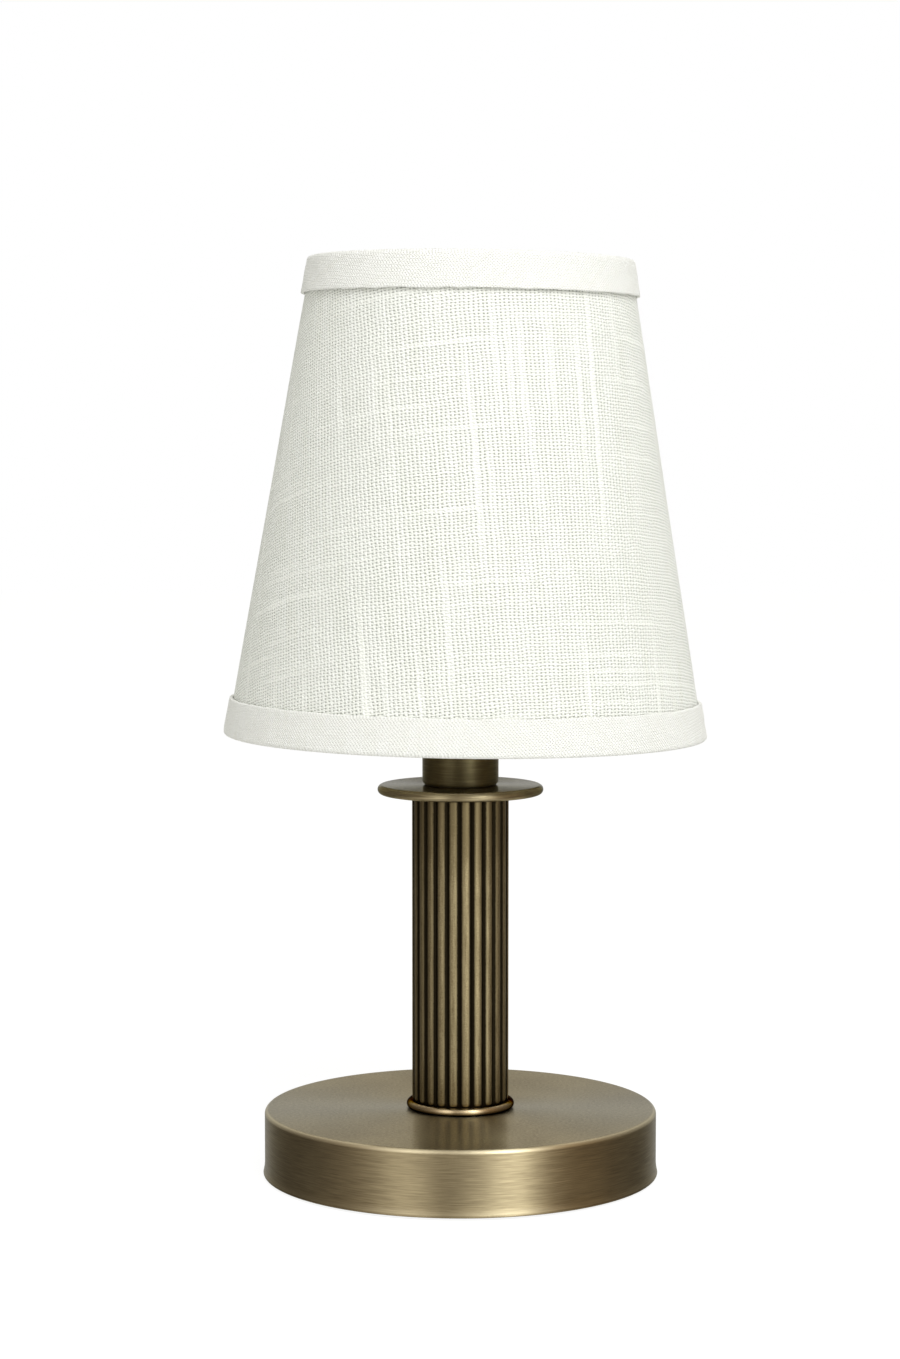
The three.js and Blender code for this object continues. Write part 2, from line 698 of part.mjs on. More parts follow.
function bulbTip() {
  return turned([
    [0, tipBottom],
    [TIP_RADIUS * 0.55, tipBottom],
    [TIP_RADIUS, tipBottom + TIP_HEIGHT * 0.6],
    [TIP_RADIUS, insulatorBottom],
    [0, insulatorBottom],
  ], SMALL_STEPS);
}

function bulbStem() {
  const flare = neckRadius - GLASS_WALL - FIT;
  return turned([
    [0, glassBottom],
    [flare, glassBottom],
    [flare, glassBottom + 1],
    [STEM_RADIUS, glassBottom + 4],
    [STEM_RADIUS, stemTop - 3],
    [STEM_RADIUS * 1.25, stemTop - 1.5],
    [STEM_RADIUS, stemTop],
    [0, stemTop],
  ], SMALL_STEPS);
}

function filamentLead(side) {
  const reach = side * FILAMENT_SPAN / 2;
  return wireAlong([
    new THREE.Vector3(side * STEM_RADIUS / 2, 0, stemTop + FIT),
    new THREE.Vector3(side * STEM_RADIUS / 2, 0, stemTop + FILAMENT_RISE * 0.3),
    new THREE.Vector3(reach * 0.8, 0, filamentHeight - FILAMENT_RISE * 0.3),
    new THREE.Vector3(reach, 0, filamentHeight + 3 * LEAD_RADIUS),
  ], LEAD_RADIUS, 6, 8);
}

function filament() {
  const end = FILAMENT_SPAN / 2 - 2 * LEAD_RADIUS - FIT;
  const height = filamentHeight;
  return wireAlong([
    new THREE.Vector3(-end, 0, height),
    new THREE.Vector3(-end * 0.4, 0, height + FILAMENT_SAG * 0.8),
    new THREE.Vector3(0, 0, height + FILAMENT_SAG),
    new THREE.Vector3(end * 0.4, 0, height + FILAMENT_SAG * 0.8),
    new THREE.Vector3(end, 0, height),
  ], LEAD_RADIUS, 6, 12);
}

function addBulb() {
  addPiece('bulb_tip_contact', bulbTip(), solder);
  addPiece('bulb_insulator', bulbInsulator(), blackGlass);
  addPiece('bulb_screw_cap', bulbCap(), nickel);
  addPiece('bulb_glass', bulbGlass(), glass);
  addPiece('bulb_stem', bulbStem(), glass);
  addPiece('filament_lead_left', filamentLead(-1), tungsten);
  addPiece('filament_lead_right', filamentLead(1), tungsten);
  addPiece('filament', filament(), tungsten);
}

// Shade, built upright about its own axis with its lower edge at height 0, then leaned and shifted

function linenRadius(height) {
  return SHADE_BOTTOM_RADIUS + (SHADE_TOP_RADIUS - SHADE_BOTTOM_RADIUS) * height / SHADE_HEIGHT;
}

const linenBottom = HEM_THICKNESS + FIT;
const linenTop = SHADE_HEIGHT - linenBottom;
const linerOffset = LINEN_THICKNESS + FIT;
const wireOffset = linerOffset + LINER_THICKNESS + FIT + RING_WIRE_RADIUS;
const hemInnerOffset = wireOffset + RING_WIRE_RADIUS + FIT;
const topWireHeight = linenTop - RING_WIRE_RADIUS;
const bottomWireHeight = linenBottom + RING_WIRE_RADIUS;

function coneShell(outerOffset, thickness) {
  const outer = (height) => linenRadius(height) - outerOffset;
  return turnedRing([
    [outer(linenBottom), linenBottom],
    [outer(linenTop), linenTop],
    [outer(linenTop) - thickness, linenTop],
    [outer(linenBottom) - thickness, linenBottom],
  ], LARGE_STEPS);
}

// Tape folded over an edge: a long leg outside, a short leg inside, with rounded folds
function hem(edge, inward, turnIn) {
  const at = (height, offset) => [linenRadius(height) + offset, height];
  const out = FIT + HEM_THICKNESS;
  const round = HEM_THICKNESS * 0.6;
  const cap = edge + inward * HEM_THICKNESS;
  const longEnd = edge + inward * HEM_HEIGHT;
  const shortEnd = edge + inward * turnIn;
  return turnedRing([
    at(longEnd, FIT),
    at(longEnd, out - round / 2),
    at(longEnd - inward * round, out),
    at(edge + inward * round, out),
    at(edge + inward * round * 0.3, out - round * 0.3),
    at(edge, out - round),
    at(edge, -hemInnerOffset),
    at(edge + inward * round, -hemInnerOffset - HEM_THICKNESS / 2),
    at(shortEnd, -hemInnerOffset - HEM_THICKNESS / 2),
    at(shortEnd, -hemInnerOffset),
    at(cap, -hemInnerOffset),
    at(cap, FIT),
  ], LARGE_STEPS);
}

function wireRing(height, radius, wireRadius, sides, steps) {
  return turnedRing(arc(radius, height, wireRadius, 0, 360 - 360 / sides, sides - 1), steps);
}

function shadeRing(height) {
  return wireRing(height, linenRadius(height) - wireOffset, RING_WIRE_RADIUS, 6, LARGE_STEPS);
}

function addShade() {
  const shade = new THREE.Group();
  shade.rotation.y = THREE.MathUtils.degToRad(SHADE_LEAN);
  shade.position.set(SHADE_SHIFT, 0, shadeBottom);
  lamp.add(shade);
  const topTurnIn = linenBottom + 2 * RING_WIRE_RADIUS;
  addPiece('shade_linen', coneShell(0, LINEN_THICKNESS), linen, shade);
  addPiece('shade_liner', coneShell(linerOffset, LINER_THICKNESS), styrene, shade);
  addPiece('shade_hem_top', hem(SHADE_HEIGHT, -1, topTurnIn), bias, shade);
  addPiece('shade_hem_bottom', hem(0, 1, HEM_TURN_IN), bias, shade);
  addPiece('shade_ring_top', shadeRing(topWireHeight), wire, shade);
  addPiece('shade_ring_bottom', shadeRing(bottomWireHeight), wire, shade);
  shade.updateMatrixWorld(true);
  return shade;
}

// Arm from under the top ring, in and down to the collet above the bulb
function spiderArm(shade, degrees) {
  const angle = THREE.MathUtils.degToRad(degrees);
  const topWireRadius = linenRadius(topWireHeight) - wireOffset;
  const armHeight = topWireHeight - RING_WIRE_RADIUS - FIT - ARM_WIRE_RADIUS;
  const atShade = (radius, height) => shade.localToWorld(
    new THREE.Vector3(radius * Math.cos(angle), radius * Math.sin(angle), height),
  );
  const atBulb = (radius, height) => new THREE.Vector3(
    radius * Math.cos(angle), radius * Math.sin(angle), height,
  );
  const endRadius = COLLET_RADIUS + COLLET_WIRE_RADIUS + FIT;
  return wireAlong([
    atShade(topWireRadius, armHeight),
    atShade(topWireRadius - ARM_BEND / 2, armHeight),
    atShade(topWireRadius - ARM_BEND, armHeight - ARM_BEND / 3),
    atBulb(endRadius + ARM_BEND, colletHeight + ARM_BEND),
    atBulb(endRadius + ARM_BEND / 3, colletHeight + ARM_BEND / 8),
    atBulb(endRadius, colletHeight),
  ], ARM_WIRE_RADIUS, 8, 14);
}

// Loop of spring wire down one side of the bulb, from the collet to the glass's widest girdle and back
function clipLoop(degrees) {
  const clearance = FIT + CLIP_WIRE_RADIUS + CLIP_ROOM;
  const girdle = capTop + GLASS_LENGTH * GLASS_GIRDLE;
  const top = colletHeight - COLLET_WIRE_RADIUS - FIT;
  const middle = THREE.MathUtils.degToRad(degrees);
  const half = THREE.MathUtils.degToRad(CLIP_HALF_ANGLE);
  const at = (turn, height) => {
    const slope = (glassRadiusAt(height + 1) - glassRadiusAt(height - 1)) / 2;
    const radius = Math.max(glassRadiusAt(height) + clearance * Math.hypot(1, slope), COLLET_RADIUS);
    return new THREE.Vector3(radius * Math.cos(middle + turn), radius * Math.sin(middle + turn), height);
  };
  const legSteps = 8;
  const turns = 5;
  const points = [];
  for (let i = 0; i < legSteps; i += 1) {
    points.push(at(-half, top + (girdle + CLIP_BEND - top) * i / (legSteps - 1)));
  }
  for (let i = 1; i < turns; i += 1) {
    points.push(at(-half + 2 * half * i / turns, girdle));
  }
  for (let i = legSteps - 1; i >= 0; i -= 1) {
    points.push(at(half, top + (girdle + CLIP_BEND - top) * i / (legSteps - 1)));
  }
  return wireAlong(points, CLIP_WIRE_RADIUS, 6, 40);
}

function addShadeFrame(shade) {
  addPiece('clip_collet', wireRing(colletHeight, COLLET_RADIUS, COLLET_WIRE_RADIUS, 8, SMALL_STEPS), wire);
  addPiece('bulb_clip_left', clipLoop(180), wire);
  addPiece('bulb_clip_right', clipLoop(0), wire);
  for (let i = 0; i < ARM_COUNT; i += 1) {
    addPiece(`spider_arm_${i + 1}`, spiderArm(shade, 90 + 360 * i / ARM_COUNT), wire);
  }
}

// Assembly

function addBase() {
  addPiece('felt_pad', feltPad(), felt);
  addPiece('base_weight', baseWeight(), castIron);
  addPiece('base_shell', baseShell(), brass);
  addPiece('cord_bushing', cordBushing(), nylon);
}

function addRod() {
  const washerBottom = pocketRoof - WASHER_THICKNESS;
  const lockBottom = washerBottom - LOCK_WASHER_THICKNESS;
  addPiece('threaded_rod', threadedRod(), steel);
  addPiece('base_washer', flatRing(washerRadius, rodHole, washerBottom, pocketRoof, SMALL_STEPS), steel);
  addPiece('base_lock_washer', lockWasher(washerBottom), steel);
  addPiece('base_nut', nut(lockBottom - NUT_HEIGHT), steel);
  addPiece('socket_lock_nut', nut(cupFloorTop), steel);
}

function addColumn() {
  addPiece('foot_ring', footRing(), brass);
  addPiece('reeded_column', reededColumn(), brass);
  addPiece('lower_centring_bushing', centringBushing(ringTop), fibre);
  addPiece('upper_centring_bushing', centringBushing(columnTop - CENTRING_LENGTH), fibre);
  addPiece('collar_disk', collarDisk(), brass);
  addPiece('socket_cup', socketCup(), darkBrass);
}

addBase();
addRod();
addColumn();
addSocket();
addBulb();
addShadeFrame(addShade());

export default lamp;
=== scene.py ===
# Accent lamp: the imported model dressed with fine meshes, procedural materials and a plain studio.
# Metres, +Z up. The lamp's front faces -Y and its cord outlet is at the back, +Y.

import math

import bpy
from mathutils import Matrix, Vector, noise


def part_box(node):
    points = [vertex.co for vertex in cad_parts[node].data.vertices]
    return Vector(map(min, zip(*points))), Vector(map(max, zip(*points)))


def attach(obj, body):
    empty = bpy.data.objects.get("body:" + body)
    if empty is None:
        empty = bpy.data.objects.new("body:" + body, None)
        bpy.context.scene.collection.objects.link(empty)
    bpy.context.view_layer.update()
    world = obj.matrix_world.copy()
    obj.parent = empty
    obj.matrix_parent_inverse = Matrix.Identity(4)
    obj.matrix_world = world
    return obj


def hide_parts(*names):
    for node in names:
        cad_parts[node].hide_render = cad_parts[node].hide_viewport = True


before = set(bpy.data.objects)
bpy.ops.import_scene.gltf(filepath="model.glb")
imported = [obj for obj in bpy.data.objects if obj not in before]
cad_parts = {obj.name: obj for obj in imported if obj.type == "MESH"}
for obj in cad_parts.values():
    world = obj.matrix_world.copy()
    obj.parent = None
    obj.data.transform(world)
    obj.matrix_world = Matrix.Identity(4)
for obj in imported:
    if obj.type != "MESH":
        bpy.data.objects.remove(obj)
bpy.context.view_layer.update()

MM = 0.001
FIT = 0.3 * MM

# Steps round a full turn, for large, middle-sized and small round pieces
LARGE = 256
MIDDLE = 128
SMALL = 64

# Faces that meet at more degrees than this keep a sharp edge between them
SHARP_ANGLE = 35.0

# Camera
CAMERA_DISTANCE = 1.0207
CAMERA_HEIGHT = 0.2415
CAMERA_DOWN = 4.340
CAMERA_YAW = 0.193
CAMERA_LENS = 82.58
CAMERA_SENSOR = 36.0

# Base
BASE_RADIUS = 64.8 * MM
BASE_HEIGHT = 22.0 * MM
BASE_FLARE = 0.5 * MM
BASE_FLARE_HEIGHT = 4.5 * MM
BASE_EDGE_ROUND = 1.6 * MM
BASE_SHEET = 1.2 * MM
BASE_RIM_LIFT = 0.5 * MM
FELT_THICKNESS = 1.5 * MM
FELT_EDGE_ROUND = 0.5 * MM
ROD_HOLE = 5.1 * MM
CORD_BORE_RADIUS = 3.6 * MM
BUSHING_RADIUS = 4.9 * MM
BUSHING_FLANGE = 1.4 * MM
BUSHING_FLANGE_THICKNESS = 1.3 * MM
BUSHING_DEPTH = 7.0 * MM
BUSHING_EDGE_ROUND = 0.6 * MM

# Column, foot ring, collar and cup
RING_RADIUS = 17.8 * MM
RING_HEIGHT = 2.8 * MM
COLUMN_RADIUS = 16.0 * MM
COLUMN_LENGTH = 101.6 * MM
COLUMN_BORE = 13.05 * MM
REED_COUNT = 24
REED_DEPTH = 0.7 * MM
REED_PHASE = -1.0
REED_END_DOME = 1.4 * MM
COLLAR_RADIUS = 27.3 * MM
COLLAR_THICKNESS = 3.1 * MM
CUP_WALL = 0.9 * MM
CUP_FLOOR = 1.2 * MM
CUP_EDGE_ROUND = 1.5 * MM

# Bulb
CAP_RADIUS = 5.85 * MM
CAP_WALL = 0.35 * MM
THREAD_PITCH = 2.54 * MM
THREAD_DEPTH = 0.4 * MM
CAP_PLAIN_EDGE = 1.0 * MM
CAP_SKIRT = 4.9 * MM
SKIRT_EDGE_ROUND = 0.15 * MM
GLASS_RADIUS = 17.5 * MM
GLASS_LENGTH = 75.0 * MM
GLASS_WALL = 0.6 * MM
GLASS_GIRDLE = 0.44
STEM_RADIUS = 2.2 * MM
STEM_HEIGHT = 16.0 * MM
STEM_ROUND = 0.8 * MM
LEAD_RADIUS = 0.35 * MM
FILAMENT_SPAN = 16.0 * MM
FILAMENT_RISE = 9.0 * MM
FILAMENT_SAG = 3.0 * MM
FILAMENT_COIL_RADIUS = 0.42 * MM
FILAMENT_WIRE_RADIUS = 0.11 * MM
FILAMENT_TURNS = 26
FILAMENT_STEPS = 12

# Shade
SHADE_HEIGHT = 155.5 * MM
SHADE_BOTTOM_RADIUS = 78.0 * MM
SHADE_TOP_RADIUS = 51.8 * MM
SHADE_DROP = 105.2 * MM
SHADE_LEAN = 0.7
SHADE_SHIFT = 1.5 * MM
LINEN_THICKNESS = 0.6 * MM
LINER_THICKNESS = 0.5 * MM
HEM_HEIGHT = 12.0 * MM
HEM_THICKNESS = 1.1 * MM
HEM_TURN_IN = 5.0 * MM
HEM_SPAN = 1.2 * MM
RING_WIRE_RADIUS = 1.2 * MM
SEAM_LAP = 8.0 * MM

# How far the sheets and the tape stray from their true shape
SHEET_SWAY = 0.12 * MM
TAPE_PUFF = 0.16 * MM
TAPE_WAVE = 0.22 * MM
TAPE_LAP = 0.5 * MM
TAPE_LAP_REACH = 5.0 * MM
TAPE_LAP_EASE = 1.5 * MM

# Bulb clip and arms
ARM_COUNT = 3
ARM_WIRE_RADIUS = 1.0 * MM
ARM_BEND = 8.0 * MM
CLIP_WIRE_RADIUS = 0.9 * MM
CLIP_HALF_ANGLE = 24.0
CLIP_BEND = 4.0 * MM
CLIP_ROOM = 0.2 * MM
COLLET_RADIUS = 6.5 * MM
COLLET_WIRE_RADIUS = 1.1 * MM
COLLET_LIFT = 5.0 * MM

# Brass seen at a flat angle: bare, partly covered by the dark finish and darkened by painted shade of the
# lampshade above, and in grooves full of the finish
EDGE_TINT = (0.74, 0.74, 0.7, 1.0)
FINISH_AND_SHADE_TINT = (0.4, 0.4, 0.36, 1.0)
GROOVE_TINT = (0.1, 0.1, 0.1, 1.0)

# How much smoother the turned metal is on its flat faces
FLAT_POLISH = 0.12

# Length of the column below the collar that painted shadow darkens, standing in for the shade of the collar
# and lampshade above
SHADOW_BELOW_COLLAR = 30.0 * MM

# Height of the relief that the metals' and solids' fine grain has
GRAIN_RELIEF = 0.1 * MM
BRUSH_RELIEF = 0.06 * MM

# Weave: pitch of the threads across and along the cloth, and its turn in degrees
LINEN_PITCH = (1.4 * MM, 1.0 * MM)
TAPE_PITCH = (0.8 * MM, 0.7 * MM)
LINEN_TURN = -5.0
TAPE_TURN = 45.0

# Width of the gap between two threads, as the sine of the place on the thread where it ends
THREAD_GAP = 0.78

# How dark a gap is away from the pores, against a pore
GAP_SHADE = 0.04

# Height of the threads over each other, as a share of a thread, and of the whole relief
THREAD_RISE = 0.2
WEAVE_RELIEF = 0.85 * MM

# Panels and flags that the metal reflects: degrees round the lamp from its front, brightness and warmth
REFLECTOR_LEVELS = (
    (-180.0, 0.78, 0.0), (-150.0, 0.74, 0.0), (-132.0, 0.3, 0.2), (-113.0, 0.2, 0.4),
    (-94.0, 0.22, 0.4), (-76.0, 0.34, 0.5), (-60.0, 0.55, 0.4), (-46.0, 1.2, 0.1),
    (-34.0, 1.9, 0.0), (-25.0, 1.8, 0.0), (-12.0, 0.62, 0.3), (0.0, 0.95, 0.1),
    (12.0, 1.8, 0.0), (22.0, 3.3, -0.15), (32.0, 5.0, -0.2), (42.0, 2.5, 0.0),
    (52.0, 0.9, 0.5), (66.0, 0.42, 1.0), (85.0, 0.33, 1.0), (105.0, 0.26, 0.5),
    (132.0, 0.3, 0.2), (150.0, 0.74, 0.0), (180.0, 0.78, 0.0),
)
REFLECTOR_PEAK = 5.0
REFLECTOR_RADIUS = 1.3
REFLECTOR_BOTTOM = -0.8
REFLECTOR_TOP = 2.0

# Strength of the reflectors at the floor and at their top, as shares of their peak
REFLECTOR_LOW = 0.88
REFLECTOR_HIGH = 3.0

# Studio: strength of the soft world light, and of the floor's own white where it is seen
WORLD_LIGHT = 0.58
FLOOR_WHITE = 1.12
FLOOR_SEEN = 0.8
FLOOR_DROP = 0.2 * MM
KEY_PLACE = Vector((0.27, -0.88, 1.16))
KEY_AIM = Vector((0.0, 0.0, 0.15))
KEY_SIZE = (0.8, 0.8)
KEY_POWER = 12.2

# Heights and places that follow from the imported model
RING_TOP = BASE_HEIGHT + RING_HEIGHT
COLUMN_TOP = RING_TOP + COLUMN_LENGTH
COLLAR_TOP = COLUMN_TOP + COLLAR_THICKNESS
CUP_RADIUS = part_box("socket_cup")[1][0]
CUP_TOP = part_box("socket_cup")[1][2]
CAP_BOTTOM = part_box("bulb_screw_cap")[0][2]
CAP_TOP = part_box("bulb_screw_cap")[1][2]
SKIRT_BOTTOM = CAP_TOP - CAP_SKIRT
NECK_RADIUS = CAP_RADIUS - CAP_WALL - FIT
GLASS_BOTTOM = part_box("bulb_glass")[0][2]
GLASS_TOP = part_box("bulb_glass")[1][2]
STEM_TOP = CAP_TOP + STEM_HEIGHT
FILAMENT_HEIGHT = STEM_TOP + FILAMENT_RISE
COLLET_HEIGHT = GLASS_TOP + COLLET_LIFT
BUSHING_AXIS = (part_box("cord_bushing")[0][2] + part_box("cord_bushing")[1][2]) / 2
SHADE_BOTTOM = COLLET_HEIGHT - SHADE_DROP
SHADE_PLACE = (
    Matrix.Translation((SHADE_SHIFT, 0.0, SHADE_BOTTOM))
    @ Matrix.Rotation(math.radians(SHADE_LEAN), 4, "Y")
)


# Mesh helpers


def linked(name, data):
    """An object of some data, in the scene."""
    made = bpy.data.objects.new(name, data)
    bpy.context.scene.collection.objects.link(made)
    return made


def new_mesh(name, points, faces):
    mesh = bpy.data.meshes.new(name)
    mesh.from_pydata([tuple(point) for point in points], [], faces)
    return mesh


def make_piece(name, points, faces, body, slot, material=None, flats=None, sharp=SHARP_ANGLE,
               stands_for=True):
    """A mesh that rides on a body, has its material and takes the place of the CAD node of its name."""
    mesh = new_mesh(name + "_fine", points, faces)
    if flats is not None:
        layer = mesh.uv_layers.new(name="Flat")
        for loop in mesh.loops:
            layer.data[loop.index].uv = flats[loop.index]
    mesh.validate()
    mesh.update()
    mesh.shade_smooth()
    mesh.set_sharp_from_angle(angle=math.radians(sharp))
    piece = linked(name + "_fine", mesh)
    mesh.materials.append(materials[material or slot])
    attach(piece, body)
    if stands_for:
        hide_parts(name)
    return piece


def polar(radius, angle, height):
    return Vector((radius * math.cos(angle), radius * math.sin(angle), height))


def grid_faces(rows, steps, closed=True):
    """Faces between rows of points that each close round, and from the last row to the first if closed."""
    faces = []
    for i in range(rows if closed else rows - 1):
        low = i * steps
        high = ((i + 1) % rows) * steps
        for k in range(steps):
            after = (k + 1) % steps
            faces.append([low + k, low + after, high + after, high + k])
    return faces


def thick_faces(outside, layer_size, borders):
    """Faces of a sheet's outside, of its inside, whose points follow, and of the strips along its borders."""
    faces = list(outside)
    for first, *others in outside:
        faces.append([corner + layer_size for corner in (first, *reversed(others))])
    for border in borders:
        for here, after in zip(border, border[1:] + border[:1]):
            faces.append([here, here + layer_size, after + layer_size, after])
    return faces


def arc(centre_radius, centre_height, radius, start, end, steps):
    """Points of an arc in an outline, from one angle to another in degrees."""
    points = []
    for i in range(steps + 1):
        angle = math.radians(start + (end - start) * i / steps)
        points.append((centre_radius + radius * math.cos(angle), centre_height + radius * math.sin(angle)))
    return points


def round_corner(before, corner, after, radius, room, steps):
    """Points round a corner; room is the most of each side's length that the round takes up."""
    before = before - corner
    after = after - corner
    reach = min(radius, before.length * room, after.length * room)
    start = corner + before.normalized() * reach
    end = corner + after.normalized() * reach
    shares = [k / steps for k in range(steps + 1)]
    return [start * (1 - s) ** 2 + corner * 2 * s * (1 - s) + end * s ** 2 for s in shares]


def softened(outline, radius, steps=4):
    """A closed outline with each of its corners rounded, except on the axis."""
    corners = [Vector(corner) for corner in outline]
    soft = []
    for i, corner in enumerate(corners):
        after = corners[(i + 1) % len(corners)]
        if corner.x == 0.0:
            soft.append(tuple(corner))
            continue
        rounded = round_corner(corners[i - 1], corner, after, radius, 0.45, steps)
        soft += [tuple(point) for point in rounded]
    return soft


def lathe_mesh(outline, steps, shape=None):
    """Points and faces of a closed outline of (radius, height), turned about +Z."""
    points = []
    rings = []
    for radius, height in outline:
        if radius <= 0.0:
            rings.append([len(points)] * steps)
            points.append(Vector((0.0, 0.0, height)))
            continue
        rings.append(list(range(len(points), len(points) + steps)))
        points += [polar(radius, 2 * math.pi * k / steps, height) for k in range(steps)]
    faces = []
    for i, low in enumerate(rings):
        high = rings[(i + 1) % len(rings)]
        for k in range(steps):
            after = (k + 1) % steps
            face = list(dict.fromkeys([low[k], low[after], high[after], high[k]]))
            if len(face) > 2:
                faces.append(face)
    if shape:
        points = [shape(point) for point in points]
    return points, faces


def lathe(name, outline, steps, body, slot, shape=None, **settings):
    points, faces = lathe_mesh(outline, steps, shape)
    return make_piece(name, points, faces, body, slot, **settings)


def laid_along_y(point):
    return Vector((point.x, point.z, BUSHING_AXIS - point.y))


def between_knots(first, second, start, end, t):
    """The point at t on the line that is at the first point for start and at the second for end."""
    return first * ((end - t) / (end - start)) + second * ((t - start) / (end - start))


def smooth_path(points, count):
    """Centripetal spline through points, cut into as many even spans of its parameter."""
    points = [Vector(point) for point in points]
    points = [points[0] * 2 - points[1]] + points + [points[-1] * 2 - points[-2]]
    spans = len(points) - 3
    path = []
    for i in range(count + 1):
        place = spans * i / count
        first = min(int(place), spans - 1)
        near = points[first:first + 4]
        knots = [0.0]
        for here, after in zip(near, near[1:]):
            knots.append(knots[-1] + max((after - here).length, 1e-9) ** 0.5)
        t = knots[1] + (knots[2] - knots[1]) * (place - first)
        lines = [between_knots(near[k], near[k + 1], knots[k], knots[k + 1], t) for k in range(3)]
        curves = [between_knots(lines[k], lines[k + 1], knots[k], knots[k + 2], t) for k in range(2)]
        path.append(between_knots(curves[0], curves[1], knots[1], knots[2], t))
    return path


def tube_mesh(path, radius, sides, closed=False):
    """Round wire along a path, with domed ends unless it closes on itself."""
    count = len(path)
    side = None
    centres = []
    for i in range(count):
        ahead = path[(i + 1) % count] if closed else path[min(i + 1, count - 1)]
        behind = path[i - 1] if closed else path[max(i - 1, 0)]
        direction = (ahead - behind).normalized()
        if side is None:
            side = direction.orthogonal().normalized()
        side = (side - direction * side.dot(direction)).normalized()
        centres.append((path[i], side.copy(), direction.cross(side).normalized(), 1.0, direction))
    if not closed:
        dome = [(share, math.sqrt(1 - share ** 2)) for share in (0.35, 0.75, 0.95)]
        place, across, up, _, direction = centres[0]
        head = [(place - direction * radius * s, across, up, n, direction) for s, n in reversed(dome)]
        place, across, up, _, direction = centres[-1]
        tail = [(place + direction * radius * s, across, up, n, direction) for s, n in dome]
        centres = head + centres + tail
    points = []
    for centre, across, up, scale, _ in centres:
        for k in range(sides):
            angle = 2 * math.pi * k / sides
            points.append(centre + (across * math.cos(angle) + up * math.sin(angle)) * radius * scale)
    faces = grid_faces(len(centres), sides, closed)
    if not closed:
        faces.append(list(reversed(range(sides))))
        faces.append([(len(centres) - 1) * sides + k for k in range(sides)])
    return points, faces


def tube(name, path, radius, sides, body, slot, closed=False):
    points, faces = tube_mesh(path, radius, sides, closed)
    return make_piece(name, points, faces, body, slot)


def cut_by(piece, cutter_points, cutter_faces):
    """Takes a closed mesh out of a piece, and leaves no modifier on it."""
    cutter = linked("cutter", new_mesh("cutter", cutter_points, cutter_faces))
    modifier = piece.modifiers.new("cut", "BOOLEAN")
    modifier.object = cutter
    modifier.solver = "EXACT"
    result = piece.evaluated_get(bpy.context.evaluated_depsgraph_get())
    mesh = bpy.data.meshes.new_from_object(result)
    piece.modifiers.clear()
    piece.data = mesh
    bpy.data.objects.remove(cutter)
    mesh.set_sharp_from_angle(angle=math.radians(SHARP_ANGLE))


# Node helpers


def node(tree, kind, inputs=None, **settings):
    """A shader node with its settings, and its inputs as values or as links from sockets."""
    made = tree.nodes.new("ShaderNode" + kind)
    for key, value in settings.items():
        setattr(made, key, value)
    for key, value in (inputs or {}).items():
        if isinstance(value, bpy.types.NodeSocket):
            tree.links.new(value, made.inputs[key])
        else:
            made.inputs[key].default_value = value
    return made


def calc(tree, operation, *values):
    return node(tree, "Math", dict(enumerate(values)), operation=operation).outputs[0]


def plus(tree, first, second):
    return calc(tree, "ADD", first, second)


def less(tree, first, second):
    return calc(tree, "SUBTRACT", first, second)


def times(tree, first, second):
    return calc(tree, "MULTIPLY", first, second)


def larger(tree, first, second):
    return calc(tree, "MAXIMUM", first, second)


def between(tree, share, first, second):
    return node(tree, "Mix", {0: share, 2: first, 3: second}).outputs[0]


def remap(tree, value, low, high, to_low=0.0, to_high=1.0, **settings):
    """A value moved from one range to another, and held to that range."""
    made = node(tree, "MapRange", {"Value": value, "From Min": low, "From Max": high,
                                   "To Min": to_low, "To Max": to_high}, **settings)
    return made.outputs["Result"]


def blend_colours(tree, share, first, second):
    return node(tree, "Mix", {0: share, 6: first, 7: second}, data_type="RGBA").outputs[2]


def combine(tree, x, y, z):
    return node(tree, "CombineXYZ", {"X": x, "Y": y, "Z": z}).outputs["Vector"]


def object_place(tree):
    return node(tree, "TexCoord").outputs["Object"]


def noise_value(tree, vector, scale, detail=2.0, rough=0.5):
    made = node(tree, "TexNoise", {"Vector": vector, "Scale": scale, "Detail": detail, "Roughness": rough})
    return made.outputs["Fac"]


def rgb(red, green, blue):
    """Linear colour of a colour given as it shows on a screen, 0 to 255."""
    def linear(value):
        share = value / 255
        return share / 12.92 if share <= 0.04045 else ((share + 0.055) / 1.055) ** 2.4
    return (linear(red), linear(green), linear(blue), 1.0)


def new_material(name, **values):
    """A material with one Principled shader, its plain values set on its own sockets."""
    material = bpy.data.materials.new(name)
    material.use_nodes = True
    tree = material.node_tree
    shader = tree.nodes["Principled BSDF"]
    for key, value in values.items():
        shader.inputs[key.replace("_", " ")].default_value = value
    return material, tree, shader


def connect(tree, shader, **sockets):
    """Links values to the inputs of a shader."""
    for key, value in sockets.items():
        tree.links.new(value, shader.inputs[key.replace("_", " ")])


def add_bump(tree, shader, height, strength, relief):
    bump = node(tree, "Bump", {"Height": height, "Strength": strength, "Distance": relief})
    connect(tree, shader, Normal=bump.outputs["Normal"])


def add_round_grain(tree, shader):
    """Turns the highlights' direction round the lamp's axis."""
    tangent = node(tree, "Tangent", direction_type="RADIAL", axis="Z")
    connect(tree, shader, Tangent=tangent.outputs["Tangent"])


def turned_coordinates(tree):
    """Object position, with the place along the turned profile as a fourth value."""
    place = object_place(tree)
    parts = node(tree, "SeparateXYZ", {"Vector": place})
    x, y, z = parts.outputs["X"], parts.outputs["Y"], parts.outputs["Z"]
    radius = calc(tree, "SQRT", plus(tree, times(tree, x, x), times(tree, y, y)))
    return place, x, y, less(tree, z, radius)


# Materials


